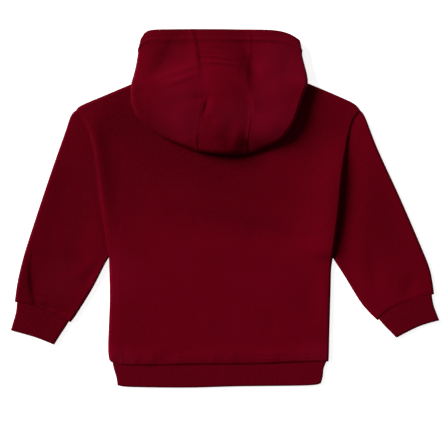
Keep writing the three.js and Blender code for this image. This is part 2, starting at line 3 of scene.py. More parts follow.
import bpy
import numpy as np
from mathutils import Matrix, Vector


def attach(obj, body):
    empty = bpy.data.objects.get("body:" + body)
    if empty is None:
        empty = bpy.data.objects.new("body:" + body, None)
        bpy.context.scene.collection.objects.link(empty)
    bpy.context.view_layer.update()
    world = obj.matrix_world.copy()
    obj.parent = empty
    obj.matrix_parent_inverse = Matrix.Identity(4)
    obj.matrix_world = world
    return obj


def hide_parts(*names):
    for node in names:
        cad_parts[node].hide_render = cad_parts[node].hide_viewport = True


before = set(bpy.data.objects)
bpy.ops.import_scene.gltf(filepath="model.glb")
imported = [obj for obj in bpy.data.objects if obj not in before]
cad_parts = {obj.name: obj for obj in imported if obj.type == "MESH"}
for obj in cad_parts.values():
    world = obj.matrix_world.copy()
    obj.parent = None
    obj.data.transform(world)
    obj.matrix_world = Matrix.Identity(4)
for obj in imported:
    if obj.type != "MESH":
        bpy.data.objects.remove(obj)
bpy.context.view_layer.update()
mm = 0.001

picture = {
    "middle": (-1.6, -25.4),  # the point of the floor under the camera
    "width": 715.2,  # width of floor in the picture
    "lens": 180,
    "sensor": 36,
}


def makeCamera():
    data = bpy.data.cameras.new("camera")
    data.lens = picture["lens"]
    data.sensor_width = picture["sensor"]
    data.clip_end = 20
    camera = bpy.data.objects.new("camera", data)
    bpy.context.scene.collection.objects.link(camera)
    height = picture["width"] * mm * picture["lens"] / picture["sensor"]
    camera.location = (picture["middle"][0] * mm, picture["middle"][1] * mm, height)
    bpy.context.scene.camera = camera


makeCamera()
print("camera placed")


class Wire:
    # an output socket that can stand in a sum with numbers and with other wires
    def __init__(self, finish, socket):
        self.finish = finish
        self.socket = socket

    def maths(self, operation, first, second):
        sockets = {0: first, 1: second}
        return self.finish.add("ShaderNodeMath", {"operation": operation}, sockets, "Value")

    def __add__(self, other):
        return self.maths("ADD", self, other)

    def __radd__(self, other):
        return self.maths("ADD", other, self)

    def __sub__(self, other):
        return self.maths("SUBTRACT", self, other)

    def __rsub__(self, other):
        return self.maths("SUBTRACT", other, self)

    def __mul__(self, other):
        return self.maths("MULTIPLY", self, other)

    def __rmul__(self, other):
        return self.maths("MULTIPLY", other, self)

    def __truediv__(self, other):
        return self.maths("DIVIDE", self, other)

    def __rtruediv__(self, other):
        return self.maths("DIVIDE", other, self)

    def of(self, operation, other=0.0):
        return self.maths(operation, self, other)


class Finish:
    # a material and the one way in which nodes are added to it
    def __init__(self, name):
        self.material = bpy.data.materials.new(name)
        self.material.use_nodes = True
        self.tree = self.material.node_tree
        self.tree.nodes.clear()

    def add(self, kind, settings=None, sockets=None, out=None):
        node = self.tree.nodes.new(kind)
        for key, value in (settings or {}).items():
            setattr(node, key, value)
        for key, value in (sockets or {}).items():
            if isinstance(value, Wire):
                self.tree.links.new(value.socket, node.inputs[key])
            else:
                node.inputs[key].default_value = value
        return Wire(self, node.outputs[out]) if out is not None else node

    def noise(self, where, scale, detail=2.0, roughness=0.5):
        sockets = {"Vector": where, "Scale": scale, "Detail": detail, "Roughness": roughness}
        return self.add("ShaderNodeTexNoise", {}, sockets, 0)

    def mix(self, share, first, second):
        settings = {"data_type": "RGBA", "clamp_factor": True}
        return self.add("ShaderNodeMix", settings, {0: share, 6: first, 7: second}, 2)


jerseyLook = {
    "colour": (0.097, 0.0003, 0.0052),
    "pale": (0.122, 0.0006, 0.0074),  # tips of the nap
    "deep": (0.080, 0.0002, 0.0038),
    "paintedShade": (0.043, 0.0001, 0.0016),  # painted shade: darker colour mixed into patches where shade falls
    # painted highlight: lighter colour mixed into patches where light falls
    "paintedHighlight": (0.130, 0.0020, 0.0112),
    "wale": 0.95,  # mm from one column of stitches to the next
    "course": 0.8,  # mm from one row of stitches to the next
    "knitHeight": 0.04,
    "napHeight": 0.09,
    "roughness": 0.93,
    "sheen": 0.06,
    "sheenRoughness": 0.5,
    "shine": 0.1,
    "gloss": (0.75, 0.01, 0.06),  # tint of the shine and of the sheen
    # painted shade and painted highlight patches: which of the two, place and reach in mm, and how much of it
    "paintedLightPatches": [
        ("paintedShade", (-135, 130, 0), 115, 0.72),
        ("paintedShade", (-100, 105, 0), 70, 0.55),
        ("paintedShade", (-165, 40, 0), 90, 0.35),
        ("paintedShade", (-60, 70, 0), 130, 0.45),
        ("paintedShade", (60, 60, 0), 120, 0.4),
        ("paintedShade", (150, 130, 0), 80, 0.6),
        ("paintedShade", (-10, 84, 0), 80, 0.85),
        ("paintedShade", (-120, 110, 0), 50, 0.4),
        ("paintedShade", (20, -20, 0), 90, 0.25),
        ("paintedShade", (-186, 160, 0), 66, 0.8),
        ("paintedShade", (-262, 40, 0), 100, 0.55),
        ("paintedShade", (-296, -116, 0), 85, 1.0),
        ("paintedShade", (-240, -50, 0), 75, 0.4),
        ("paintedShade", (-290, -150, 0), 56, 0.5),
        ("paintedShade", (212, 0, 0), 100, 0.6),
        ("paintedShade", (295, -60, 0), 90, 0.35),
        ("paintedShade", (-84, 279, 0), 60, 0.9),
        ("paintedShade", (-14, 282, 0), 52, 0.7),
        ("paintedShade", (-100, 246, 18), 42, 0.9),
        ("paintedShade", (36, 216, 26), 18, 0.4),
        ("paintedHighlight", (-66, 208, 0), 58, 0.4),
        ("paintedHighlight", (-56, 130, 0), 36, 0.7),
        ("paintedHighlight", (-76, 148, 24), 46, 0.6),
        ("paintedHighlight", (8, 146, 24), 34, 0.5),
        ("paintedHighlight", (72, 148, 0), 62, 1.0),
        ("paintedHighlight", (92, 228, 10), 52, 0.9),
        ("paintedHighlight", (-262, -114, 0), 40, 0.3),
        ("paintedHighlight", (-163, -243, 5), 26, 0.6),
        ("paintedHighlight", (140, -243, 5), 34, 0.5),
        ("paintedHighlight", (-172, -110, 0), 50, 0.3),
    ],
}
ribLook = {
    "colour": (0.092, 0.0004, 0.0052),
    "pale": (0.110, 0.0008, 0.0074),
    "deep": (0.068, 0.0002, 0.0036),
    # painted shade: darker colour mixed into the patches on the cuffs
    "paintedShade": (0.043, 0.0001, 0.0016),
    "wale": 1.05,
    "course": 0.85,
    "knitHeight": 0.05,
    "napHeight": 0.04,
    "roughness": 0.9,
    "sheen": 0.05,
    "sheenRoughness": 0.5,
    "shine": 0.1,
    "gloss": (0.75, 0.01, 0.06),  # tint of the shine and of the sheen
    # painted shade patches on the cuffs
    "paintedLightPatches": [("paintedShade", (-300, -180, 0), 70, 0.55), ("paintedShade", (300, -172, 0), 70, 0.35)],
}
threadLook = {
    "colour": (0.108, 0.0007, 0.0078),
    "deep": (0.075, 0.0004, 0.0050),
    "twist": 0.7,  # mm from one turn of the yarn to the next
    "roughness": 0.62,
    "shine": 0.35,
    "gloss": (0.8, 0.05, 0.12),
}


def knitRelief(look, across, along):
    # columns of V-shaped stitches: 0 in the grooves, 1 on the backs of the loops
    column = (across / (look["wale"] * mm)).of("FRACT")
    side = (column - 0.5).of("ABSOLUTE") * 2
    row = along / (look["course"] * mm) + side * 0.6
    loop = (row * (2 * math.pi)).of("COSINE") * 0.5 + 0.5
    back = 1 - side.of("POWER", 3.0)
    return back * (loop * 0.55 + 0.45)


def clothFinish(name, look):
    finish = Finish(name)
    cut = finish.add("ShaderNodeUVMap", {"uv_map": "cut"}, {}, "UV")
    axes = finish.add("ShaderNodeSeparateXYZ", {}, {0: cut})
    across, along = (Wire(finish, axes.outputs[k]) for k in (0, 1))
    place = finish.add("ShaderNodeTexCoord", {}, {}, "Object")
    knit = knitRelief(look, across, along)
    nap = finish.noise(place, 900.0, 3.0, 0.6)
    tufts = finish.noise(place, 260.0, 2.0, 0.55)
    cloud = finish.noise(place, 22.0, 3.0, 0.55)
    wash = finish.noise(place, 5.0, 2.0, 0.5)
    worn = cloud * 0.5 + wash * 0.5
    tips = (nap * 0.55 + tufts * 0.45 - 0.42).of("MAXIMUM", 0.0) * 1.7
    ground = finish.mix((worn - 0.3) * 1.6, (*look["deep"], 1), (*look["colour"], 1))
    # painted shade and painted highlight: each patch mixes a darker or a lighter colour into the ground around its
    # place
    for paintedKind, spot, reach, share in look["paintedLightPatches"]:
        settings, sockets = {"operation": "DISTANCE"}, {0: place, 1: [x * mm for x in spot]}
        away = finish.add("ShaderNodeVectorMath", settings, sockets, "Value")
        paintedReach = (1 - away / (reach * mm)).of("MAXIMUM", 0.0).of("POWER", 0.7)
        ground = finish.mix(paintedReach * share, ground, (*look[paintedKind], 1))
    # painted shade: the grooves between the knit loops are darkened
    ground = finish.mix((1 - knit) * 0.22, ground, (*look["deep"], 1))
    colour = finish.mix(tips, ground, (*look["pale"], 1))
    relief = knit * look["knitHeight"] + (nap * 0.5 + tufts * 0.5) * look["napHeight"]
    bump = finish.add("ShaderNodeBump", {}, {"Strength": 0.8, "Distance": mm, "Height": relief}, "Normal")
    rough = nap * 0.08 + tufts * 0.06 + (look["roughness"] - 0.07)
    shader = finish.add("ShaderNodeBsdfPrincipled", {}, {
        "Base Color": colour,
        "Roughness": rough,
        "Normal": bump,
        "Specular IOR Level": look["shine"],
        "Specular Tint": (*look["gloss"], 1),
        "Sheen Weight": look["sheen"],
        "Sheen Roughness": look["sheenRoughness"],
        "Sheen Tint": (*look["gloss"], 1),
    }, 0)
    finish.add("ShaderNodeOutputMaterial", {}, {"Surface": shader})
    return finish.material


def threadFinish(name, look):
    finish = Finish(name)
    cut = finish.add("ShaderNodeUVMap", {"uv_map": "cut"}, {}, "UV")
    axes = finish.add("ShaderNodeSeparateXYZ", {}, {0: cut})
    around, along = (Wire(finish, axes.outputs[k]) for k in (0, 1))
    ply = ((along / (look["twist"] * mm) + around) * (2 * math.pi)).of("SINE") * 0.5 + 0.5
    # painted shade: the yarn is darker in the grooves of its twist
    colour = finish.mix(ply, (*look["deep"], 1), (*look["colour"], 1))
    bump = finish.add("ShaderNodeBump", {}, {"Strength": 0.6, "Distance": 0.1 * mm, "Height": ply}, "Normal")
    shader = finish.add("ShaderNodeBsdfPrincipled", {}, {
        "Base Color": colour,
        "Roughness": ply * 0.1 + look["roughness"],
        "Normal": bump,
        "Specular IOR Level": look["shine"],
        "Specular Tint": (*look["gloss"], 1),
    }, 0)
    finish.add("ShaderNodeOutputMaterial", {}, {"Surface": shader})
    return finish.material


jersey = clothFinish("jersey_brushed", jerseyLook)
rib = clothFinish("rib_knit", ribLook)
thread = threadFinish("sewing_thread", threadLook)
print("materials made")


def curve(points, perSpan=48):
    # a smooth line in plan through the points, as a function of the share of its length
    knots = np.asarray(points, float) * mm
    ends = np.vstack([knots[:1], knots, knots[-1:]])
    t = np.linspace(0, 1, perSpan, endpoint=False)[:, None]
    spans = []
    for before, a, b, after in zip(ends, ends[1:], ends[2:], ends[3:]):
        out, into = (b - before) / 2, (after - a) / 2
        cubed, squared = 2 * a - 2 * b + out + into, 3 * b - 3 * a - 2 * out - into
        spans.append(cubed * t**3 + squared * t**2 + out * t + a)
    path = np.vstack([*spans, knots[-1:]])
    run = np.concatenate([[0], np.cumsum(np.linalg.norm(np.diff(path, axis=0), axis=1))])
    run /= run[-1]

    def at(share):
        return np.stack([np.interp(share, run, path[:, k]) for k in range(path.shape[1])], -1)

    return at


def chain(lines, breaks):
    # lines end to end; each has the shares between two breaks
    def at(share):
        share = np.asarray(share, float)
        out = np.empty(share.shape + (2,))
        for k, line in enumerate(lines):
            here = (share >= breaks[k]) & (share <= breaks[k + 1])
            out[here] = line((share[here] - breaks[k]) / (breaks[k + 1] - breaks[k]))
        return out

    return at


def stretchOf(line, start, end):
    return lambda share: line(start + (end - start) * np.asarray(share, float))


def moved(line, shift):
    return lambda share: line(share) + np.asarray(shift) * mm


def beside(line, distance):
    # the line moved to the left of its own direction by a distance in millimetres
    def at(share):
        share = np.asarray(share, float)
        way = line(np.minimum(share + 0.002, 1)) - line(np.maximum(share - 0.002, 0))
        way /= np.linalg.norm(way, axis=-1, keepdims=True)
        return line(share) + np.stack([-way[..., 1], way[..., 0]], -1) * distance * mm

    return at


def patch(foot, head, left, right, us, vs):
    # places in plan that fill the space between four border lines, a row for each of vs
    u, v = us[None, :, None], vs[:, None, None]
    atFoot, atHead, atLeft, atRight = foot(us)[None], head(us)[None], left(vs)[:, None], right(vs)[:, None]
    footCorners = (1 - u) * (1 - v) * atFoot[:, :1] + u * (1 - v) * atFoot[:, -1:]
    corners = footCorners + (1 - u) * v * atHead[:, :1] + u * v * atHead[:, -1:]
    return (1 - v) * atFoot + v * atHead + (1 - u) * atLeft + u * atRight - corners


def graded(count, pull=0.85):
    # shares from 0 to 1 that crowd together at both ends
    x = np.linspace(0, 1, count + 1)
    return x - pull * np.sin(2 * np.pi * x) / (2 * np.pi)


def withPlaces(shares, places):
    # the shares, with the nearest one moved onto each place
    shares = shares.copy()
    for place in places:
        shares[np.abs(shares - place).argmin()] = place
    return shares


def ease(x, low, high):
    t = np.clip((x - low) / (high - low), 0, 1)
    return t * t * (3 - 2 * t)


def unit(vectors):
    return vectors / np.maximum(np.linalg.norm(vectors, axis=-1, keepdims=True), 1e-12)


atOnce = 4000  # places that are measured together, to save memory


def nearest(path, places):
    # for each place its distance from a path of points, the share of the path there and the side it lies on
    flat = places.reshape(-1, 2)
    start, step = path[:-1], np.diff(path, axis=0)
    size = (step**2).sum(1)
    run = np.concatenate([[0], np.cumsum(np.sqrt(size))])
    found = np.empty((len(flat), 3))
    for k in range(0, len(flat), atOnce):
        here = slice(k, k + atOnce)
        to = flat[here, None] - start
        t = np.clip((to * step).sum(-1) / size, 0, 1)
        away = np.linalg.norm(to - t[..., None] * step, axis=-1)
        best = away.argmin(1)
        row = np.arange(len(best))
        cross = step[best, 0] * to[row, best, 1] - step[best, 1] * to[row, best, 0]
        found[here, 0] = away[row, best]
        found[here, 1] = (run[best] + t[row, best] * np.sqrt(size[best])) / run[-1]
        found[here, 2] = np.sign(cross)
    return [found[:, k].reshape(places.shape[:-1]) for k in range(3)]


# Each row of a fold table holds the points that the fold runs through, its width, its height, and how much
# wider it is on the right of its way than on the left. A negative height is a trough.
def relief(folds, places):
    height = np.zeros(places.shape[:-1])
    for points, width, rise, lean in folds:
        path = curve(points, 10)(np.linspace(0, 1, 14))
        reach = 2.6 * width * mm * (1 + abs(lean))
        low, high = path.min(0) - reach, path.max(0) + reach
        near = ((places >= low) & (places <= high)).all(-1)
        if not near.any():
            continue
        away, share, side = nearest(path, places[near])
        across = away / (width * mm * (1 - side * lean))
        height[near] += rise * mm * np.exp(-(across**2)) * (0.3 + 0.7 * np.sin(np.pi * share))
    return height


def ripples(seed, line, count, length, width, rise, start=0.03, end=0.97):
    # short uneven gathers that run off a seam, to the left of its way
    dice = np.random.default_rng(seed)
    folds = []
    for share in np.linspace(start, end, count) + dice.uniform(-0.4, 0.4, count) * (end - start) / count:
        foot, ahead = line(np.array([share])) / mm, line(np.array([share + 0.002])) / mm
        way = unit(ahead - foot)[0]
        off = np.array([-way[1], way[0]])
        run = length * dice.uniform(0.45, 1.3)
        lean = dice.uniform(-0.35, 0.35)
        tip = foot[0] + off * run + way * run * lean
        half = foot[0] + off * run * 0.5 + way * run * lean * 0.3
        size = rise * dice.uniform(0.35, 1.2) * dice.choice([-1, 1, 1])
        folds.append(([foot[0] - off * 2, half, tip], width * dice.uniform(0.7, 1.4), size, 0))
    return folds


def roundedEdge(distance, radius):
    # height of a quarter round near an edge, from 0 to 1, and the share of its run that is left
    left = 1 - np.minimum(distance / (radius * mm), 1)
    return np.sqrt(np.maximum(1 - left * left, 0)), left


sharpFrom = 48  # degrees between faces from which a rim stays crisp


def finishPiece(name, points, faces, corners, material, node=None):
    # corners holds the place on the flat cloth for each corner of each face
    mesh = bpy.data.meshes.new(name)
    mesh.from_pydata(points.tolist(), [], faces.tolist())
    layer = mesh.uv_layers.new(name="cut")
    layer.data.foreach_set("uv", corners.astype(np.float32).ravel())
    mesh.materials.append(material)
    mesh.shade_smooth()
    mesh.set_sharp_from_angle(angle=math.radians(sharpFrom))
    mesh.validate()
    piece = bpy.data.objects.new(name, mesh)
    bpy.context.scene.collection.objects.link(piece)
    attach(piece, "root")
    if node:
        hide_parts(node)
    return piece


def signedVolume(points, faces):
    a, b, c = points[faces[:, 0]], points[faces[:, 1]], points[faces[:, 2]]
    a2, c2, d2 = points[faces[:, 0]], points[faces[:, 2]], points[faces[:, 3]]
    return (a * np.cross(b, c)).sum() + (a2 * np.cross(c2, d2)).sum()


def shell(name, outer, inner, isTube, cut, material):
    # closed cloth between an outer and an inner grid of points; cut holds each point's place on the flat cloth
    rows, columns = outer.shape[:2]
    spans = columns if isTube else columns - 1
    last = rows - 1
    i, j = (a.ravel() for a in np.meshgrid(np.arange(last), np.arange(spans), indexing="ij"))

    def quads(*corners):  # each corner is (layer, row, column)
        return np.stack([np.stack(np.broadcast_arrays(*corner), -1) for corner in corners], 1)

    c, r = np.arange(spans), np.arange(last)  # the faces along the rims
    parts = [
        quads((0, i, j), (0, i, j + 1), (0, i + 1, j + 1), (0, i + 1, j)),
        quads((1, i, j), (1, i + 1, j), (1, i + 1, j + 1), (1, i, j + 1)),
        quads((0, 0, c), (1, 0, c), (1, 0, c + 1), (0, 0, c + 1)),
        quads((0, last, c), (0, last, c + 1), (1, last, c + 1), (1, last, c)),
    ]
    if not isTube:
        parts.append(quads((0, r, 0), (0, r + 1, 0), (1, r + 1, 0), (1, r, 0)))
        parts.append(quads((0, r, spans), (1, r, spans), (1, r + 1, spans), (0, r + 1, spans)))
    corners = np.concatenate(parts)
    faces = (corners[..., 0] * rows + corners[..., 1]) * columns + corners[..., 2] % columns
    points = np.concatenate([outer.reshape(-1, 3), inner.reshape(-1, 3)])
    if signedVolume(points, faces) < 0:
        faces, corners = faces[:, ::-1], corners[:, ::-1]
    onCloth = cut[corners[..., 1], corners[..., 2]]
    return finishPiece(name + "_cloth", points, faces, onCloth, material, name)


def cutOf(plan, isTube=False):
    # place of each grid point on the cloth when it lies flat, from the lengths along its rows and columns
    grid = np.concatenate([plan, plan[:, :1]], 1) if isTube else plan
    steps = np.linalg.norm(np.diff(grid, axis=1), axis=-1)
    across = np.concatenate([np.zeros((len(grid), 1)), np.cumsum(steps, 1)], 1)
    middle = grid.shape[1] // 4 if isTube else grid.shape[1] // 2
    across = across - across[:, middle : middle + 1]
    along = np.concatenate([[0], np.cumsum(np.linalg.norm(np.diff(grid[:, middle], axis=0), axis=-1))])
    return np.stack([across, np.broadcast_to(along[:, None], across.shape)], -1)


def normalsOf(grid):
    return unit(np.cross(np.gradient(grid, axis=1), np.gradient(grid, axis=0)))


def onGrid(grid, i, j):
    # points of a grid at places between its rows and columns
    i, j = np.clip(i, 0, grid.shape[0] - 1.001), np.clip(j, 0, grid.shape[1] - 1.001)
    a, b = i.astype(int), j.astype(int)
    s, t = (i - a)[:, None], (j - b)[:, None]
    near = grid[a, b] * (1 - t) + grid[a, b + 1] * t
    return near * (1 - s) + (grid[a + 1, b] * (1 - t) + grid[a + 1, b + 1] * t) * s


stitch = {
    "length": 2.6,
    "gap": 0.7,
    "thickness": 0.32,  # radius
    "sink": 0.12,  # how far its ends go into the cloth
    "sides": 6,
    "rings": 7,
    "uneven": 0.06,  # drift to either side
}


def stitchRow(path, ups, seed):
    # separate stitches along a path on the cloth, as one list of points, faces and cloth places
    dice = np.random.default_rng(seed)
    run = np.concatenate([[0], np.cumsum(np.linalg.norm(np.diff(path, axis=0), axis=1))])
    pitch = (stitch["length"] + stitch["gap"]) * mm
    count = max(int(run[-1] / pitch), 1)
    points, faces, corners = [], [], []
    sides, rings = stitch["sides"], stitch["rings"]
    for k in range(count):
        start = (k + 0.5) * run[-1] / count - stitch["length"] * mm / 2
        at = start + np.linspace(0, stitch["length"] * mm, rings)
        centre = np.stack([np.interp(at, run, path[:, c]) for c in range(3)], -1)
        up = unit(np.stack([np.interp(at, run, ups[:, c]) for c in range(3)], -1))
        way = unit(np.gradient(centre, axis=0))
        aside = unit(np.cross(way, up))
        arch = np.sin(np.linspace(0, np.pi, rings)) ** 0.6
        radius = stitch["thickness"] * mm * (0.35 + 0.65 * arch)
        lift = stitch["thickness"] * mm * (1.15 * arch - 0.75) + stitch["sink"] * mm * (arch - 1)
        drift = dice.normal(0, stitch["uneven"] * mm)
        centre = centre + up * lift[:, None] + aside * drift
        turns = np.linspace(0, 2 * np.pi, sides, endpoint=False)
        ring = np.cos(turns)[None, :, None] * aside[:, None] + np.sin(turns)[None, :, None] * up[:, None]
        base = len(points) * rings * sides
        points.append((centre[:, None] + ring * radius[:, None, None]).reshape(-1, 3))
        for a in range(rings - 1):
            for b in range(sides):
                c, here, ahead = (b + 1) % sides, base + a * sides, base + (a + 1) * sides
                faces.append([here + b, here + c, ahead + c, ahead + b])
                low, high, one, other = at[a], at[a + 1], b / sides, (b + 1) / sides
                corners.append([[one, low], [other, low], [other, high], [one, high]])
        for ringAt, order in ((0, -1), (rings - 1, 1)):
            rim = [base + ringAt * sides + b for b in range(sides)][::order]
            half = sides // 2
            faces.append([rim[0], rim[1], rim[2], rim[half]])
            faces.append([rim[half], rim[half + 1], rim[half + 2], rim[0]])
            corners.extend([[[0.5, at[ringAt]]] * 4] * 2)
    return np.concatenate(points), np.array(faces), np.array(corners)


def stitches(name, rows):
    # rows is a list of (path, normals along it)
    points, faces, corners, total = [], [], [], 0
    for k, (path, ups) in enumerate(rows):
        p, f, c = stitchRow(path, ups, k + len(name))
        points.append(p)
        faces.append(f + total)
        corners.append(c)
        total += len(p)
    points, faces, corners = np.concatenate(points), np.concatenate(faces), np.concatenate(corners)
    return finishPiece(name, points, faces, corners, thread, None)


bodyCut = {
    "sideLeft": [(-182.5, -245), (-185.5, -238), (-186.5, -215), (-184, -150), (-184.5, -100), (-185, -78)],
    "armholeLeft": [
        (-185, -78), (-191.5, -38), (-198.7, 2), (-204.5, 45), (-209.5, 85), (-215, 112), (-224, 134), (-237.5, 156.5),
    ],
    "sideRight": [(165, -244.5), (165.7, -235), (166.5, -200), (168.5, -130), (169.5, -97), (172, -79)],
    "armholeRight": [
        (172, -79), (178.3, -38), (183, 0), (187.8, 50), (193.6, 90), (199.4, 122), (206, 142), (216, 155.5),
    ],
    "shoulderLeft": [(-237.5, 156.5), (-229, 164), (-194, 179), (-149, 198), (-85, 225)],
    "shoulderRight": [(72, 225), (131, 199.5), (179, 179.5), (206, 166.5), (216, 155.5)],
    "backNeck": [(-85, 225), (-70, 215.5), (-40, 210), (-6.5, 208.5), (27, 210), (57, 215.5), (72, 225)],
    "frontNeck": [(-85, 225), (-76, 208), (-50, 189), (-6.5, 178), (37, 189), (63, 208), (72, 225)],
    "hem": [
        (-182.5, -245), (-164, -250.5), (-120, -251.5), (-43, -250), (48, -249.3), (105, -247), (165, -244.5),
    ],
    "underarmAt": 0.42,  # share of the rows below the underarm
    "neck": (0.3, 0.7),  # share of the columns at each end of the neckline
    "sideOpens": 0.05,  # share of a side over which its fold opens out, and the same for the shoulders
    "headOpens": 0.03,
    "cloth": 1.8,
    "top": 7.6,  # height of the back where it lies flat
    "hemEdge": 5.9,
    "sideSeam": 3.6,
    "seamGap": 0.35,
    "sewnOver": 0.4,  # how far one piece reaches under the other at a seam
    "edge": {"left": 6, "right": 4.5, "head": 6, "foot": 5},  # run of the rounded edges
    # run and depth of the cloth that turns down into a seam
    "seamRoll": {"left": (2.2, 0.5), "right": (1.7, 0.5), "foot": (1.7, 0.3)},
    # at the armholes: height of the sewn edge, then height, place, outer and inner run of the ridge beside it
    "ridges": {"left": (7.5, 2.2, 8, 6.2, 14), "right": (6.4, 7.4, 2.4, 2.1, 34)},
    # shares of the armhole, from the underarm up, over which the ridge rises and falls away
    "swells": {"left": (0, 0.5, 0.75, 0.97), "right": (-0.05, 0.06, 0.5, 0.9)},
    "hemPuff": (1.3, 13, 12),  # height, place and width of the cloth that bags over the band
    "armStitches": 5.4,  # from the armhole seam
    "hemStitches": (6, 12),  # from the hem seam
    "stitchedFrom": 0.46,  # share of the side from which the armhole is stitched
    "stitchesEnd": 8,  # columns from the side at which the rows along the hem end
    "armSink": 0.15,  # how deep the stitches pull the cloth in
    "hemSink": 0.25,
    "sinkWidth": 0.8,
    "backGrid": (176, 190),  # across and along
    "frontGrid": (90, 96),
    "backFlat": (0.455, 0.48),
    "backArea": 0.1665,
    "frontArea": 0.1625,
}
backFolds = [
    ([(-196, 118), (-150, 48), (-92, -6)], 40, -2.4, 0.15),
    ([(-112, 4), (-50, -26), (30, -40)], 34, -2.5, -0.2),
    ([(10, -38), (70, -52), (122, -64)], 28, -1.9, -0.3),
    ([(-222, 100), (-205, 140), (-158, 168)], 30, 2.6, 0.2),
    ([(96, 186), (146, 170), (188, 140)], 26, 1.5, 0),
    ([(-150, 92), (-120, 60), (-70, 30)], 22, 0.9, 0),
    ([(-150, -80), (-40, -120), (60, -150)], 48, 1.1, 0),
    ([(-166, -50), (-167, -130), (-166, -220)], 30, 1.1, -0.6),
    ([(-120, -20), (-60, -58), (10, -74)], 14, 0.8, 0.3),
    ([(-178, -218), (-170, -240)], 9, 1.2, 0),
    ([(-104, -237), (-66, -229), (-40, -232)], 8, -0.9, 0.2),
    ([(158, -100), (160, -190)], 9, 0.7, 0),
    ([(150, 70), (146, 0), (152, -60)], 26, 1.2, 0),
    ([(120, -70), (134, -140), (128, -200)], 20, -0.7, 0),
    ([(-205, 50), (-180, -10), (-160, -60)], 20, 1.0, 0),
    ([(70, -170), (78, -200)], 10, -0.5, 0),
    ([(-30, -170), (-22, -205)], 9, 0.45, 0),
    ([(-60, 70), (10, 58), (90, 66)], 20, -0.7, 0),
    ([(-108, 24), (-50, 6), (10, -6), (70, -20), (120, -34)], 16, 1.7, -0.3),
]


def armholes():
    return curve(bodyCut["armholeLeft"]), curve(bodyCut["armholeRight"])


def bodyBorders(neck):
    low, high = bodyCut["neck"]
    armLeft, armRight = armholes()
    breaks = [0, bodyCut["underarmAt"], 1]
    return {
        "foot": curve(bodyCut["hem"]),
        "head": chain(
            [curve(bodyCut["shoulderLeft"]), curve(bodyCut[neck]), curve(bodyCut["shoulderRight"])],
            [0, low, high, 1],
        ),
        "left": chain([curve(bodyCut["sideLeft"]), armLeft], breaks),
        "right": chain([curve(bodyCut["sideRight"]), armRight], breaks),
    }


def bodyPanel(name, neck, faces, folds, grid):
    # faces is 1 for the back, whose right side is up, and -1 for the front
    us = withPlaces(graded(grid[0]), bodyCut["neck"])
    vs = withPlaces(graded(grid[1]), [bodyCut["underarmAt"]])
    borders = bodyBorders(neck)
    plan = patch(borders["foot"], borders["head"], borders["left"], borders["right"], us, vs)
    isBack = faces > 0
    flat = bodyCut["top"] * mm if isBack else 0.0
    seam = (bodyCut["sideSeam"] + (bodyCut["seamGap"] if isBack else 0)) * mm
    height = flat + relief(folds, plan)
    underarm, (neckLow, neckHigh) = bodyCut["underarmAt"], bodyCut["neck"]
    away, share, lean, edge = {}, {}, {}, {}
    for side, line in borders.items():
        away[side], share[side], _ = nearest(line(np.linspace(0, 1, 260)), plan)
        s = share[side]
        if side in ("left", "right"):
            cut = lengthShare(line, underarm)
            opened = ease(s, cut - bodyCut["sideOpens"], cut)
            sewn, ridge, at, outerRun, innerRun = bodyCut["ridges"][side]
            edge[side] = seam + ((sewn * mm if isBack else 0.0) - seam) * opened
            lean[side] = 1 - opened
            if isBack:
                rise, full, fall, gone = (cut + (1 - cut) * k for k in bodyCut["swells"][side])
                swell = ease(s, rise, full) * (1 - ease(s, fall, gone))
                beyond = away[side] / mm - at
                beyond = beyond / np.where(beyond < 0, outerRun, innerRun)
                height = height + ridge * mm * swell * np.exp(-(beyond**2))
        elif side == "head":
            a, b = lengthShare(line, neckLow), lengthShare(line, neckHigh)
            over = bodyCut["headOpens"]
            opened = ease(s, a - over, a) * (1 - ease(s, b, b + over))
            edge[side] = seam + (flat - seam) * opened
            lean[side] = 1 - opened
        else:
            lean[side] = np.zeros_like(s)
            edge[side] = np.full_like(s, bodyCut["hemEdge"] * mm if isBack else 0.0)
            if isBack:
                puff, at, wide = bodyCut["hemPuff"]
                beyond = (away[side] / mm - at) / wide
                uneven = 0.8 + 0.2 * np.sin(s * 31) * np.sin(s * 13 + 1)
                height = height + puff * mm * np.exp(-(beyond**2)) * uneven
    drop, turned = np.zeros_like(height), np.zeros_like(height)
    shift = np.zeros_like(plan)
    alongWay, acrossWay = unit(np.gradient(plan, axis=0)), unit(np.gradient(plan, axis=1))
    for side in borders:
        up, left = roundedEdge(away[side], bodyCut["edge"][side])
        leaning = lean[side]
        fall = left**2 * (1 - leaning) + (1 - up) * leaning
        drop = np.maximum(drop, np.abs(height - edge[side]) * fall)
        turned = np.maximum(turned, leaning * (1 - up))
        way = alongWay if side in ("foot", "head") else acrossWay
        sign = 1 if side in ("foot", "left") else -1
        shift += way * (sign * bodyCut["cloth"] * mm * leaning * left)[..., None]
    height = height - faces * drop
    innerZ = height - faces * bodyCut["cloth"] * mm * (1 - turned)
    if isBack:
        for side, (run, depth) in bodyCut["seamRoll"].items():
            up, _ = roundedEdge(away[side], run)
            height = height - depth * mm * (1 - up) * (1 - lean[side])
        wide = bodyCut["sinkWidth"]
        for side in ("left", "right"):
            groove = np.exp(-(((away[side] / mm - bodyCut["armStitches"]) / wide) ** 2)) * (1 - lean[side])
            height = height - bodyCut["armSink"] * mm * groove
        for at in bodyCut["hemStitches"]:
            height = height - bodyCut["hemSink"] * mm * np.exp(-(((away["foot"] / mm - at) / wide) ** 2))
    outer = np.dstack([plan, height])
    inner = np.dstack([plan + shift, innerZ])
    piece = shell(name, outer, inner, False, cutOf(plan), jersey)
    return piece, outer, away, share


def lengthShare(line, share):
    # share of the length of a chained line at which one of its own shares lies
    path = line(np.linspace(0, 1, 800))
    run = np.concatenate([[0], np.cumsum(np.linalg.norm(np.diff(path, axis=0), axis=1))])
    return float(np.interp(share, np.linspace(0, 1, 800), run / run[-1]))


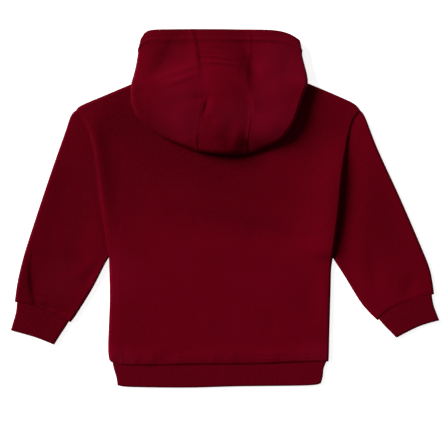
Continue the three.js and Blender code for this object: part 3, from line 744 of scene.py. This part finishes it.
def rowBeside(away, distance, isAcross):
    # grid places at a distance from a border, one for each row where the border is a side
    found = []
    grid = away if isAcross else away.T
    for k, line in enumerate(grid):
        if line.min() > distance * mm:
            continue
        nearestAt = line.argmin()
        step = 1 if nearestAt < len(line) / 2 else -1
        stretch = line[nearestAt::step]
        past = int(np.argmax(stretch > distance * mm))
        if past == 0:
            continue
        before = stretch[past - 1]
        part = (distance * mm - before) / max(stretch[past] - before, 1e-9)
        found.append((k, nearestAt + step * (past - 1 + part)))
    found = np.array(found)
    return (found[:, 0], found[:, 1]) if isAcross else (found[:, 1], found[:, 0])


hemGathers = ripples(5, curve(bodyCut["hem"]), 34, 20, 4.5, 0.38)
folds = backFolds + hemGathers
back, backTop, backAway, backShare = bodyPanel("back", "backNeck", 1, folds, bodyCut["backGrid"])
front = bodyPanel("front", "frontNeck", -1, [], bodyCut["frontGrid"])[0]

backNormals = normalsOf(backTop)
bodySeams = []
for side in ("left", "right"):
    i, j = rowBeside(backAway[side], bodyCut["armStitches"], True)
    keep = backShare[side][i.astype(int), j.astype(int)] > bodyCut["stitchedFrom"]
    bodySeams.append((onGrid(backTop, i[keep], j[keep]), onGrid(backNormals, i[keep], j[keep])))
for at in bodyCut["hemStitches"]:
    i, j = rowBeside(backAway["foot"], at, False)
    margin = bodyCut["stitchesEnd"]
    keep = (j > margin) & (j < backTop.shape[1] - 1 - margin)
    bodySeams.append((onGrid(backTop, i[keep], j[keep]), onGrid(backNormals, i[keep], j[keep])))
backStitches = stitches("back_stitches", bodySeams)
print("body made")

sleeveLeft = {
    "outer": [(-246, 147), (-255, 121), (-278.5, 54), (-304, -22.5), (-321, -76), (-331, -118), (-335.5, -149.5)],
    "inner": [(-192.5, -91.5), (-211.5, -128.5), (-235.5, -167.5), (-246, -182)],
    "end": [(-335.5, -149.5), (-308, -155.5), (-285, -165), (-262, -172), (-246, -182)],
    "cuffOuter": [(-333, -162), (-334.8, -171), (-341.8, -195)],
    "cuffInner": [(-255.5, -191.5), (-262.5, -202), (-272.5, -218)],
    "cuffFoot": [(-341.8, -195.5), (-303, -206.2), (-272.5, -218)],
    "towardsCuff": (-0.36, -0.93),  # the way along the arm
    "seamHeight": (7.3, 7.2),  # at the shoulder and at the underarm
    "seamRoll": (1.7, 0.1),  # run and depth of the edge at the armhole
    "tuck": 1.6,  # how far the sleeve turns down into the cuff seam
    "riseOver": 0.08,  # share of the length over which the sleeve rises from the seam
    "flat": (0.49, 0.33),
    "area": 0.06,
}
sleeveLeftFolds = [
    ([(-309, -84), (-308, -120), (-301, -157)], 10, -2.5, -0.6),
    ([(-303, -152), (-285, -158), (-264, -167)], 6, -1.8, 0),
    ([(-326, -100), (-325, -130)], 7, 0.5, 0),
    ([(-222, 20), (-232, -50), (-242, -112)], 18, -1.2, 0),
    ([(-262, 96), (-284, 30), (-308, -50)], 20, 1.5, 0),
    ([(-246, 30), (-268, -40), (-284, -96)], 22, -0.8, 0),
    ([(-206, -78), (-224, -100), (-246, -108)], 10, 0.7, 0.2),
    ([(-204, -92), (-222, -116), (-236, -128)], 9, -0.7, 0),
]
sleeveRight = {
    "outer": [(224, 144), (244, 93), (279.5, 15.5), (312.5, -61), (325.8, -94.5), (331, -118), (333.5, -137)],
    "inner": [(191, -109.5), (215, -148.5), (230.5, -167), (243, -179)],
    "end": [(333.5, -137), (309, -144), (280, -154), (258, -164.5), (243, -179)],
    "cuffOuter": [(331.5, -149), (334.3, -159.5), (341.8, -179)],
    "cuffInner": [(254, -187.5), (263.5, -197), (273, -207)],
    "cuffFoot": [(341.8, -179), (309, -189), (273, -207)],
    "towardsCuff": (0.4, -0.92),
    "seamHeight": (6.2, 4.2),
    "seamRoll": (1.7, 0.4),
    "tuck": 0.6,
    "riseOver": 0.08,
    "flat": (0.49, 0.33),
    "area": 0.06,
}
sleeveRightFolds = [
    ([(206, 106), (201, 46), (195, 0), (191, -50), (196, -96)], 17, -3.0, -0.3),
    ([(252, 60), (272, 0), (284, -60)], 20, -0.7, 0),
    ([(300, -108), (294, -132), (285, -152)], 12, -1.0, 0),
    ([(232, -70), (240, -106), (238, -128)], 13, -1.0, 0),
    ([(268, 30), (290, -20), (308, -70)], 17, 0.7, 0),
    ([(212, -116), (230, -136), (252, -148)], 10, 0.8, 0),
]
sleeveCut = {
    "top": 7.6,
    "edge": 4.8,
    "grid": (78, 26, 120),  # across the top, across the underside, along
    "cuffIn": (0.035, 0.97),  # the cuff draws the sleeve in at both sides
    "seamSlope": (0.1, 0.8),  # shares of the armhole between which the seam comes down
    "endDrop": (0.8, 0.97),  # depth, and the share of the length from which the sleeve comes down to the cuff
    "tuckRun": 2.6,
}
ribCut = {
    "cloth": 2.4,
    "cuffTop": 6.6,
    "bandTop": 5.8,
    "cuffRibs": 24,
    "bandRibs": 108,
    "depth": 0.27,  # from a rib down into the valley beside it
    "uneven": (0.8, 1.1),  # how much the ribs differ in height
    "stretched": (0.65, 7),  # how flat the ribs are at the seam, and how far down
    "seamRoll": (1.6, 0.15),  # run and depth at the seam and at the folded foot
    "footRoll": (3.4, 2.6),
    "perRib": 8,
    "edge": 4,
    "rows": 18,
    "bandIn": (0.008, 0.992),
    "bandLeft": [(-177.5, -256.5), (-173.5, -270), (-171.5, -283)],
    "bandRight": [(157.5, -255.5), (156, -269), (153, -279.5)],
    "bandFoot": [(-171.5, -283), (-148, -285.5), (-60, -286.5), (20, -284.5), (130, -283), (153, -279.5)],
}


def ringOf(top, under):
    # shares across and the side of each sample of a ring: 1 on top, 0 at the folds, -1 underneath
    share = np.concatenate([top, under[1:-1][::-1]])
    face = np.concatenate([[0], np.ones(len(top) - 2), [0], -np.ones(len(under) - 2)])
    return share, face


def flatTube(name, borders, top, under, vs, topHeight, wall, edge, extra, material):
    # a tube pressed flat; topHeight gives the outer height of places, extra what is added to its upper side
    share, face = ringOf(top, under)
    order = np.argsort(share, kind="stable")
    planSorted = patch(*borders, share[order], vs)
    plan = np.empty_like(planSorted)
    plan[:, order] = planSorted
    folds = patch(*borders, np.array([0.0, 1.0]), vs)
    away = np.minimum(*(np.linalg.norm(plan - folds[:, k : k + 1], axis=-1) for k in (0, 1)))
    up, left = roundedEdge(away, edge)
    atFolds = topHeight(folds, vs[:, None])
    middle = np.where(share < 0.5, atFolds[:, :1], atFolds[:, 1:]) / 2
    height = topHeight(plan, vs[:, None])
    outerZ = np.where(face > 0, middle + (height - middle) * up, middle - middle * up * np.abs(face))
    innerZ = outerZ - face * wall * mm * up
    way = unit(folds[:, 1:] - folds[:, :1])
    shift = way * (np.where(share < 0.5, 1, -1) * wall * mm * left)[..., None]
    raised = extra(plan, vs[:, None], share) * up * (face > 0)
    outer = np.dstack([plan, outerZ + raised])
    inner = np.dstack([plan + shift, innerZ])
    return shell(name, outer, inner, True, cutOf(plan, True), material)


def makeSleeve(name, cut, armhole, side, folds, seed):
    # side is 1 for the left sleeve, whose armhole line runs up with the sleeve on its left
    seam = beside(armhole, -side * bodyCut["sewnOver"])
    head = stretchOf(seam, 1, 0)
    left = curve(np.vstack([head(np.array([0.0])) / mm, cut["outer"]]))
    right = curve(np.vstack([head(np.array([1.0])) / mm, cut["inner"]]))
    end = curve(cut["end"])
    allFolds = folds + ripples(seed, end, 15, 20, 4.5, 0.26)
    seamPath = seam(np.linspace(0, 1, 200))
    endPath = end(np.linspace(0, 1, 120))
    seamRun, seamDepth = cut["seamRoll"]

    def topHeight(places, v):
        risen = ease(v, 0, cut["riseOver"])
        _, fromShoulder, _ = nearest(seamPath[::-1], places)
        high, low = cut["seamHeight"]
        foot = (high + (low - high) * ease(fromShoulder, *sleeveCut["seamSlope"])) * mm
        base = foot + (sleeveCut["top"] * mm + relief(allFolds, places) - foot) * risen
        drop, dropFrom = sleeveCut["endDrop"]
        return base - drop * mm * ease(v, dropFrom, 1)

    def extra(places, v, share):
        fromSeam, _, _ = nearest(seamPath, places)
        fromEnd, _, _ = nearest(endPath, places)
        roll = seamDepth * mm * (1 - roundedEdge(fromSeam, seamRun)[0])
        tuck = cut["tuck"] * mm * (1 - roundedEdge(fromEnd, sleeveCut["tuckRun"])[0])
        return -roll - tuck

    top, under, along = sleeveCut["grid"]
    borders = (head, end, left, right)
    return flatTube(
        name, borders, graded(top, 0.7), graded(under, 0.7), graded(along), topHeight, bodyCut["cloth"],
        sleeveCut["edge"], extra, jersey,
    )


def ribs(count, share):
    # rounded ribs with narrow valleys between them, from 0 to 1
    return np.abs(np.sin(np.pi * share * count)) ** 0.7


def makeCuff(name, cut, seed):
    gap = -np.array(cut["towardsCuff"]) * bodyCut["sewnOver"]
    seam = moved(stretchOf(curve(cut["end"]), *sleeveCut["cuffIn"]), gap)
    borders = (
        seam,
        curve(cut["cuffFoot"]),
        curve(np.vstack([seam(np.array([0.0])) / mm, cut["cuffOuter"]])),
        curve(np.vstack([seam(np.array([1.0])) / mm, cut["cuffInner"]])),
    )
    return ribTube(name, borders, ribCut["cuffRibs"], ribCut["cuffTop"], seed)


def ribTube(name, borders, count, top, seed):
    seamPath = borders[0](np.linspace(0, 1, 200))
    footPath = borders[1](np.linspace(0, 1, 200))
    dice = np.random.default_rng(seed)
    sizes = dice.uniform(*ribCut["uneven"], count + 1)
    flatness, flatRun = ribCut["stretched"]
    (seamRun, seamDepth), (footRun, footDepth) = ribCut["seamRoll"], ribCut["footRoll"]

    def topHeight(places, v):
        return np.full(places.shape[:-1], top * mm)

    def extra(places, v, share):
        fromSeam, _, _ = nearest(seamPath, places)
        fromFoot, _, _ = nearest(footPath, places)
        rise = ribs(count, share) * sizes[np.clip((share * count).astype(int), 0, count)]
        raised = flatness + (1 - flatness) * ease(fromSeam / mm, 0, flatRun)
        roll = seamDepth * mm * (1 - roundedEdge(fromSeam, seamRun)[0])
        roll = roll + footDepth * mm * (1 - roundedEdge(fromFoot, footRun)[0])
        return (rise - 0.5) * ribCut["depth"] * mm * raised - roll

    onTop = np.linspace(0, 1, count * ribCut["perRib"] + 1)
    under = graded(max(24, count // 2), 0.7)
    return flatTube(
        name, borders, onTop, under, graded(ribCut["rows"], 0.8), topHeight, ribCut["cloth"],
        ribCut["edge"], extra, rib,
    )


def makeHemBand():
    seam = moved(stretchOf(curve(bodyCut["hem"]), *ribCut["bandIn"]), (0, bodyCut["sewnOver"]))
    borders = (
        seam,
        curve(ribCut["bandFoot"]),
        curve(np.vstack([seam(np.array([0.0])) / mm, ribCut["bandLeft"]])),
        curve(np.vstack([seam(np.array([1.0])) / mm, ribCut["bandRight"]])),
    )
    return ribTube("hem_band", borders, ribCut["bandRibs"], ribCut["bandTop"], 21)


armLeft, armRight = armholes()
leftPiece = makeSleeve("sleeve_left", sleeveLeft, armLeft, 1, sleeveLeftFolds, 11)
rightPiece = makeSleeve("sleeve_right", sleeveRight, armRight, -1, sleeveRightFolds, 12)
cuffLeft = makeCuff("cuff_left", sleeveLeft, 3)
cuffRight = makeCuff("cuff_right", sleeveRight, 4)
band = makeHemBand()
print("sleeves, cuffs and band made")

# Each row of a hood side runs from the seam on top, out to the side fold and back underneath, over a bend, to
# the neck or to the lower stretch of the seam. The first row is the face edge, the last the seam at the crown.
hoodColumns = [
    "seamX", "seamY", "seamZ", "foldX", "foldY", "foldZ", "bendX", "bendY", "neckX", "neckY",
    "rest",  # height of the layer underneath
    "corner",  # how square the row turns at the fold
    "edge",  # run of the rounded fold
]
hoodLeftRows = [
    (-49, 284.2, 21.5, -134, 268.5, 11, -84, 250, -6.5, 179.2, 0, 14, 3.5),
    (-46.5, 268, 23, -137.5, 254, 11.5, -84.5, 245, -28, 184, 0, 10, 3.5),
    (-43, 249.5, 25, -140, 239.5, 12, -85, 240, -49.5, 191, 0, 4, 3.5),
    (-40, 231.5, 26, -142.5, 225.5, 13, -85.5, 235, -74, 209.5, 0, 2, 4),
    (-39, 215.5, 27.5, -146, 211, 14, -87.5, 232, -86, 228, 0, 1.3, 4.5),
    (-37, 201.5, 28.5, -149.5, 196.5, 17.5, -88, 222.4, -83, 224.5, 8.8, 1, 5),
    (-34, 187.5, 29, -150, 179.5, 18.5, -84, 207, -66, 214.5, 8.4, 1, 6),
    (-33.5, 174, 28.5, -149, 165.5, 18.5, -72, 198.8, -45, 210.5, 8.4, 1, 7),
    (-35.5, 158, 27.5, -140, 146, 18.5, -78.3, 168.4, -45, 180.5, 8.4, 1, 8),
    (-38.5, 142, 26, -120, 127, 18.5, -75, 142.9, -45, 153.5, 8.4, 1, 8),
    (-41, 125.5, 24, -96, 111.5, 18.5, -68, 121.4, -45, 129.5, 8.4, 1, 8),
    (-43, 111, 22.5, -69, 99.5, 19.2, -55.5, 105.8, -44.5, 111, 8.4, 1, 7),
    (-44.5, 99.5, 21, -44.5, 90, 20.4, -44.5, 95.2, -44.5, 99.5, 8.4, 1, 7),
]
hoodRightRows = [
    (32, 283.6, 21.5, 119, 267, 14, 71, 250, -6.5, 179.2, 0, 4.5, 3.5),
    (35, 268, 23, 121.5, 253.5, 15.5, 71.5, 245, 15, 184, 0, 4, 3.5),
    (34, 249.5, 25, 124, 239.5, 17, 72, 240, 36.5, 191, 0, 2.5, 3.5),
    (32.5, 231.5, 26, 127.5, 225.5, 18.5, 72.5, 235, 61, 209.5, 0, 1.5, 3.5),
    (30, 215.5, 27.5, 131, 211, 20, 74.5, 232, 73, 228, 0, 1, 4),
    (30, 201.5, 28.5, 131.5, 197, 22.5, 75, 222.3, 70, 224.5, 8.8, 1, 4.5),
    (33.5, 187.5, 29, 126, 182, 23, 70, 207, 53, 214.5, 8.4, 1, 5),
    (39, 173.5, 29, 121, 167, 23.5, 59, 198.4, 35, 210.5, 8.4, 1, 5),
    (40.5, 157.5, 28, 115, 148.5, 24.5, 63, 169.3, 35, 180.5, 8.4, 1, 5),
    (40, 141.5, 26.5, 105.5, 128.5, 25, 63.2, 143.5, 35, 153.5, 8.4, 1, 5),
    (38, 124.5, 25.5, 89.5, 109, 25.5, 59.5, 120.3, 35, 129.5, 8.4, 1, 6),
    (35.5, 109.5, 24, 62.5, 96.5, 24, 46.8, 103.7, 34, 109.5, 8.4, 1, 7),
    (33.5, 96.5, 21.5, 33.5, 86, 21, 33.5, 91.8, 33.5, 96.5, 8.4, 1, 7),
]
hoodCut = {
    "hemWall": 3.2,  # the face edge is turned in once
    "hemDepth": 18,
    "hemStitches": (13.5, 19),  # distances of the two rows from the face edge
    "hemSink": (0.55, 0.8),  # depth and width of the grooves under the stitches
    "hemStep": (0.8, 19.5, 23),  # height of the hem over the cloth, and where it comes down to it
    "hemPuff": (0.8, 16.2, 2.2),  # height, place and width of the swell between the rows
    "faceRoll": (1.8, 1.2),  # run and depth of the rounded face edge
    "wall": 1.8,
    "bendShare": 0.6,  # share of the way underneath at which the bend lies
    "backNeckRow": 7,  # from here on the side panels meet the centre panel underneath too
    "crownBulge": 3,
    "edgeAt": 0.4,  # height of the fold line, as a share of the height of the cloth beside it
    "allowance": 7.5,  # width of the sewn layers under the side panels, beside the seams
    # beside each seam, from the crown up: y, then the height of the side panel and of the centre panel over it
    "pads": {
        -1: [
            (86, 0.6, 0.1), (108, 0.5, 0.1), (125, 0.25, 0.2), (205, 0.25, 0.25), (232, 0.7, 0.1), (285, 0.8, 0.1),
        ],
        1: [
            (86, 0.1, 0.5), (115, 0.1, 0.75), (145, 0.2, 0.6), (165, 0.3, 0.3), (225, 0.35, 0.3), (240, 0.6, 0.1),
            (285, 0.5, 0.1),
        ],
    },
    "rowsPerRow": 10,
    "columns": (56, 40),  # over the top and underneath
    "centreColumns": 44,
    "crownSteps": 16,
    "seamRoll": (1.3, 0.06),
    "crownOut": 3.2,  # how far the middle of the centre panel bulges past its seams at the crown
}
hoodFolds = [
    ([(-78, 268), (-89, 244), (-97, 228), (-110, 213), (-126, 198)], 20, -3.0, -0.4),
    ([(-40, 226), (-70, 219), (-104, 207)], 4.4, 0.75, 0),
    ([(-38, 214), (-66, 205), (-98, 194)], 4.4, 0.8, 0),
    ([(-44, 204), (-80, 193), (-112, 178)], 12, -0.5, 0),
    ([(-49, 260), (-49, 240), (-45, 222)], 8, 1.2, 0),
    ([(-27, 176), (-30, 162), (-34, 147)], 4.2, -1.6, -0.35),
    ([(-14, 174), (-17, 160), (-23, 144)], 12, 0.8, 0.2),
    ([(-52, 174), (-40, 174), (-28, 175)], 5, -0.9, 0),
    ([(-96, 166), (-70, 168), (-48, 172)], 12, -0.8, 0),
    ([(-124, 186), (-104, 168), (-78, 156)], 18, 1.2, 0),
    ([(38, 246), (43, 222), (50, 196)], 12, -3.2, -0.2),
    ([(50, 204), (64, 200), (86, 197)], 12, -1.2, 0),
    ([(58, 238), (80, 229), (98, 222)], 16, 1.0, 0),
    ([(20, 268), (28, 256), (34, 242)], 8, -0.8, 0),
    ([(18, 214), (29, 200), (40, 182)], 8, 1.3, 0.1),
    ([(42, 184), (47, 168), (46, 152)], 7, 0.7, 0),
    ([(46, 148), (63, 139), (82, 129), (96, 120)], 8, 2.2, 0),
    ([(20, 73), (50, 82), (82, 92), (110, 111)], 21, -10.0, 0),
    ([(-42, 249), (-20, 247), (20, 238)], 2.6, 0.8, 0.2),
    ([(-40, 242), (-14, 240), (24, 233)], 2.4, 1.0, 0.1),
    ([(-40, 245.5), (-16, 244), (22, 236)], 2.0, -0.5, 0),
    ([(-38, 237), (-12, 236), (18, 229)], 2.2, -0.6, 0),
    ([(-36, 232), (-10, 231), (26, 226)], 3.0, 1.1, 0),
    ([(-34, 226), (-12, 225), (14, 222)], 3.6, -0.5, 0),
    ([(-30, 259), (-18, 259), (-6, 257)], 4.5, 0.8, 0),
    ([(127, 205), (128, 185), (118, 158)], 9, 1.4, 0),
    ([(-12, 140), (-14, 126), (-10, 108)], 12, 1.2, 0),
    ([(8, 150), (10, 132), (4, 112)], 10, -1.0, 0),
    ([(33, 108), (36, 98), (37, 86)], 4.0, -1.4, -0.6),
    ([(20, 122), (18, 108), (12, 96)], 8, 1.2, 0),
    ([(-90, 150), (-70, 135), (-56, 118)], 14, 0.9, 0),
    ([(-100, 128), (-80, 116), (-60, 108)], 10, -0.7, 0),
    ([(96, 236), (100, 218), (104, 196)], 14, -0.8, 0),
    ([(62, 262), (80, 252), (104, 250)], 11, 0.8, 0),
]


def rowsAt(table, stations):
    # the hood tables at rows between their own: smooth in the seam and the fold, straight underneath
    table = np.asarray(table, float)
    count = len(table)
    k = np.clip(np.floor(stations).astype(int), 0, count - 2)
    t = (stations - k)[:, None]
    before, after = table[np.maximum(k - 1, 0)], table[np.minimum(k + 2, count - 1)]
    a, b = table[k], table[k + 1]
    out, into = (b - before) / 2, (after - a) / 2
    cubed, squared = 2 * a - 2 * b + out + into, 3 * b - 3 * a - 2 * out - into
    smooth = cubed * t**3 + squared * t**2 + out * t + a
    straight = a + (b - a) * t
    rows = np.concatenate([smooth[:, :6], straight[:, 6:]], 1)
    rows[:, 10] = a[:, 10] + (b[:, 10] - a[:, 10]) * np.sin(np.pi / 2 * t[:, 0])
    return {name: rows[:, c] * (1 if name == "corner" else mm) for c, name in enumerate(hoodColumns)}


def hoodSideGrid(table, stations, shares):
    # shares run from 0 at the seam on top, over 0.5 at the fold, to 1 underneath
    row = {name: values[:, None] for name, values in rowsAt(table, stations).items()}
    seam, fold = np.dstack([row["seamX"], row["seamY"]]), np.dstack([row["foldX"], row["foldY"]])
    bend, neck = np.dstack([row["bendX"], row["bendY"]]), np.dstack([row["neckX"], row["neckY"]])
    middle = row["rest"] + (row["foldZ"] - row["rest"]) * hoodCut["edgeAt"]
    radius = np.minimum(row["edge"], np.linalg.norm(seam - fold, axis=-1))
    s = shares[None, :]
    out = 1 - np.sin(np.pi * np.minimum(s, 0.5))
    upper = fold + (seam - fold) * out[..., None]
    upper[..., 1] = row["foldY"] + (row["seamY"] - row["foldY"]) * (1 - (1 - out) ** row["corner"])
    past = np.maximum(2 * s - 1, 0) / hoodCut["bendShare"]
    turn = 1 - np.cos(np.pi / 2 * np.minimum(past, 1))
    lower = fold + (bend - fold) * turn[..., None]
    fromFold = np.linalg.norm(np.where((s <= 0.5)[..., None], upper, lower) - fold, axis=-1)
    rest = np.maximum(past - 1, 0) * hoodCut["bendShare"] / (1 - hoodCut["bendShare"])
    lower = lower + (neck - lower) * rest[..., None]
    left = 1 - np.minimum(fromFold / np.maximum(radius, 1e-9), 1)
    up = np.sqrt(1 - left * left)
    places = np.where((s <= 0.5)[..., None], upper, lower)
    top = row["foldZ"] + (row["seamZ"] - row["foldZ"]) * np.sin(np.pi / 2 * out) + relief(hoodFolds, upper)
    heights = np.where(s <= 0.5, middle + (top - middle) * up, middle - (middle - row["rest"]) * up)
    fromSeam = np.linalg.norm(upper - seam, axis=-1) + np.where(s > 0.5, 1.0, 0.0)
    return np.dstack([places, heights]), fromSeam


def hoodStations():
    # the rows of the fine grid, closest at the face edge
    rows = len(hoodLeftRows) - 1
    edge = np.array([0, 0.012, 0.03, 0.06])
    return np.unique(np.concatenate([edge, np.linspace(0.1, rows, rows * hoodCut["rowsPerRow"])]))


def setIn(outer, depth, onSeam):
    # the inner grid; at the seams it stays in the plane of the seam
    normal = normalsOf(outer)
    normal[..., 0] = np.where(onSeam, 0, normal[..., 0])
    return outer + unit(normal) * depth[..., None] * mm


def hemShape(fromFace):
    # the turned face edge: thicker cloth, the rounded edge, and a soft step behind the second row of stitches
    wall = np.where(fromFace < hoodCut["hemDepth"] * mm, hoodCut["hemWall"], hoodCut["wall"])
    step, stepFrom, stepTo = hoodCut["hemStep"]
    sink, sinkWidth = hoodCut["hemSink"]
    puff, puffAt, puffWidth = hoodCut["hemPuff"]
    run, depth = hoodCut["faceRoll"]
    raised = step * mm * (1 - ease(fromFace / mm, stepFrom, stepTo))
    rows = sum(sink * mm * np.exp(-(((fromFace / mm - at) / sinkWidth) ** 2)) for at in hoodCut["hemStitches"])
    raised = raised + puff * mm * np.exp(-(((fromFace / mm - puffAt) / puffWidth) ** 2))
    roll = depth * mm * (1 - roundedEdge(fromFace, run)[0])
    return wall, raised - rows - roll


def fromFaceOf(outer):
    # distance of each point from the face edge, along its column
    step = np.linalg.norm(np.diff(outer, axis=0), axis=-1)
    return np.concatenate([np.zeros((1, outer.shape[1])), np.cumsum(step, 0)])


def padOf(outer, side, column):
    # height of the seam layers; column is 1 for the side panel and 2 for the centre panel
    ys, *heights = np.array(hoodCut["pads"][side]).T
    return np.interp(outer[..., 1] / mm, ys, heights[column - 1]) * mm


def makeHoodSide(name, table, side):
    stations = hoodStations()
    over, under = hoodCut["columns"]
    # close columns at the seam and at the fold
    shares = np.concatenate([graded(over, 0.6) / 2, 0.5 + graded(under, 0.5)[1:] / 2])
    outer, fromSeam = hoodSideGrid(table, stations, shares)
    lastRow, lastColumn = stations[-1], len(shares) - 1
    j = np.arange(len(shares))[None, :]
    i = stations[:, None]
    onSeam = (j == 0) | (i == lastRow) | ((j == lastColumn) & (i >= hoodCut["backNeckRow"]))
    fromFace = fromFaceOf(outer)
    wall, formed = hemShape(fromFace)
    wall = np.broadcast_to(wall, outer.shape[:2])
    inner = setIn(outer, side * wall, np.broadcast_to(onSeam, outer.shape[:2]))
    nearSeam, width = np.minimum(fromSeam, 1.0), hoodCut["allowance"]
    strip = padOf(outer, side, 1) * (1 - ease(nearSeam / mm, width - 3, width + 2))
    run, depth = hoodCut["seamRoll"]
    roll = depth * mm * (1 - roundedEdge(nearSeam, run)[0])
    isUpper = j <= over
    normal = normalsOf(outer) * -side
    outer = outer + normal * (formed + (strip - roll) * isUpper)[..., None]
    piece = shell(name, outer, inner, False, cutOf(outer), jersey)
    return piece, outer, fromFace


def makeHoodCentre():
    stations = hoodStations()
    lastRow = stations[-1]
    crown = np.linspace(0, 1, hoodCut["crownSteps"] + 2)[1:]
    back = stations[::-1][1:]
    back = back[back >= hoodCut["backNeckRow"]]
    plan = [(r, 0.0) for r in stations] + [(lastRow, x) for x in crown] + [(r, 1.0) for r in back]
    us = graded(hoodCut["centreColumns"], 0.6)
    rows = []
    for table in (hoodLeftRows, hoodRightRows):
        upper, _ = hoodSideGrid(table, stations, np.array([0.0]))
        arc, _ = hoodSideGrid(table, np.array([lastRow]), crown)
        lower, _ = hoodSideGrid(table, back, np.array([1.0]))
        rows.append(np.concatenate([upper[:, 0], arc[0], lower[:, 0]]))
    left, right = rows[0][:, None], rows[1][:, None]
    u = us[None, :, None]
    outer = left * (1 - u) + right * u
    share = np.array([s for _, s in plan])[:, None]
    atLeft, atRight = (relief(hoodFolds, line[:, 0, :2])[:, None] for line in (left, right))
    atSeams = atLeft * (1 - us) + atRight * us
    fading = np.cos(np.pi * np.minimum(share, 0.5))
    outer[..., 2] += (relief(hoodFolds, outer[..., :2]) - atSeams) * fading
    outer[:, 0, 0] -= bodyCut["sewnOver"] * mm
    outer[:, -1, 0] += bodyCut["sewnOver"] * mm
    bulge = np.sin(np.pi * us)[None] * np.where(share < 1, 1 - share, 0)
    outer[..., 2] += hoodCut["crownBulge"] * mm * bulge
    nearCrown = ease(np.array([r for r, _ in plan])[:, None], lastRow - 1.2, lastRow)
    outer[..., 1] -= hoodCut["crownOut"] * mm * np.sin(np.pi * us)[None] * nearCrown
    j = np.arange(len(us))[None, :]
    onSeam = np.broadcast_to((j == 0) | (j == len(us) - 1), outer.shape[:2])
    fromFace = fromFaceOf(outer)
    wall, formed = hemShape(fromFace)
    inner = setIn(outer, np.broadcast_to(wall, outer.shape[:2]), onSeam)
    run, depth = hoodCut["seamRoll"]
    roll = 0
    for column, side in ((0, -1), (-1, 1)):
        fromSeam = np.linalg.norm(outer - outer[:, column, None], axis=-1)
        pad = padOf(outer, side, 2) * (1 - ease(fromSeam / mm, 0.5, 5))
        roll = roll + depth * mm * (1 - roundedEdge(fromSeam, run)[0]) - pad
    outer = outer - normalsOf(outer) * (formed - roll)[..., None]
    piece = shell("hood_centre", outer, inner, False, cutOf(outer), jersey)
    return piece, outer, fromFace


hoodLeft, hoodLeftTop, leftFace = makeHoodSide("hood_side_left", hoodLeftRows, -1)
hoodRight, hoodRightTop, rightFace = makeHoodSide("hood_side_right", hoodRightRows, 1)
hoodCentre, hoodCentreTop, centreFace = makeHoodCentre()


def hemRows(top, fromFace, turn, columns):
    # the stitch rows of the face hem over these columns; turn is -1 where the normals point into the cloth
    rows = []
    normals = normalsOf(top) * turn
    for at in hoodCut["hemStitches"]:
        j = np.arange(columns[0], columns[1])
        i = np.array([np.interp(at * mm, fromFace[:, c], np.arange(len(top))) for c in j])
        rows.append((onGrid(top, i, j.astype(float)), onGrid(normals, i, j.astype(float))))
    return rows


over = hoodCut["columns"][0]
leftHem = stitches("hood_left_stitches", hemRows(hoodLeftTop, leftFace, 1, (2, over + 20)))
rightHem = stitches("hood_right_stitches", hemRows(hoodRightTop, rightFace, -1, (2, over + 20)))
centreRows = hemRows(hoodCentreTop, centreFace, -1, (2, hoodCut["centreColumns"] - 2))
centreHem = stitches("hood_centre_stitches", centreRows)
print("hood made")

light = {
    "height": 25.5,  # degrees of the soft key above the floor
    "from": (-0.86, 0.51),  # the way it comes from, seen from above
    "spread": 27,  # degrees
    "power": 7.4,
    "room": 0.15,  # light from all round
    "floor": 0.72,
    "floorGlow": 0.84,
    "floorSide": 4.0,  # metres from the middle
    "floorGap": 0.2,
}


def makeStage():
    side, low = light["floorSide"], -light["floorGap"] * mm
    mesh = bpy.data.meshes.new("floor")
    corners = [(-side, -side, low), (side, -side, low), (side, side, low), (-side, side, low)]
    mesh.from_pydata(corners, [], [(0, 1, 2, 3)])
    floor = bpy.data.objects.new("floor", mesh)
    bpy.context.scene.collection.objects.link(floor)
    finish = Finish("floor_paint")
    grain = finish.noise(finish.add("ShaderNodeTexCoord", {}, {}, "Object"), 30.0)
    pale = light["floor"]
    colour = finish.mix(grain * 0.04, (pale, pale, pale, 1), (0.9 * pale, 0.9 * pale, 0.9 * pale, 1))
    shader = finish.add("ShaderNodeBsdfPrincipled", {}, {
        "Base Color": colour,
        "Roughness": 0.9,
        "Specular IOR Level": 0.1,
        "Emission Color": (1, 1, 1, 1),
        "Emission Strength": light["floorGlow"],
    }, 0)
    finish.add("ShaderNodeOutputMaterial", {}, {"Surface": shader})
    mesh.materials.append(finish.material)


def makeLights():
    data = bpy.data.lights.new("key", "SUN")
    data.angle = math.radians(light["spread"])
    data.energy = light["power"]
    key = bpy.data.objects.new("key", data)
    x, y = unit(np.array(light["from"])) * math.cos(math.radians(light["height"]))
    towards = Vector((-x, -y, -math.sin(math.radians(light["height"]))))
    key.rotation_euler = towards.to_track_quat("-Z", "Y").to_euler()
    bpy.context.scene.collection.objects.link(key)
    world = bpy.data.worlds.new("room")
    bpy.context.scene.world = world
    world.use_nodes = True
    ground = world.node_tree.nodes["Background"]
    ground.inputs["Color"].default_value = (1, 1, 1, 1)
    ground.inputs["Strength"].default_value = light["room"]
    bpy.context.scene.view_settings.view_transform = "Standard"


makeStage()
makeLights()
print("floor and lights placed")
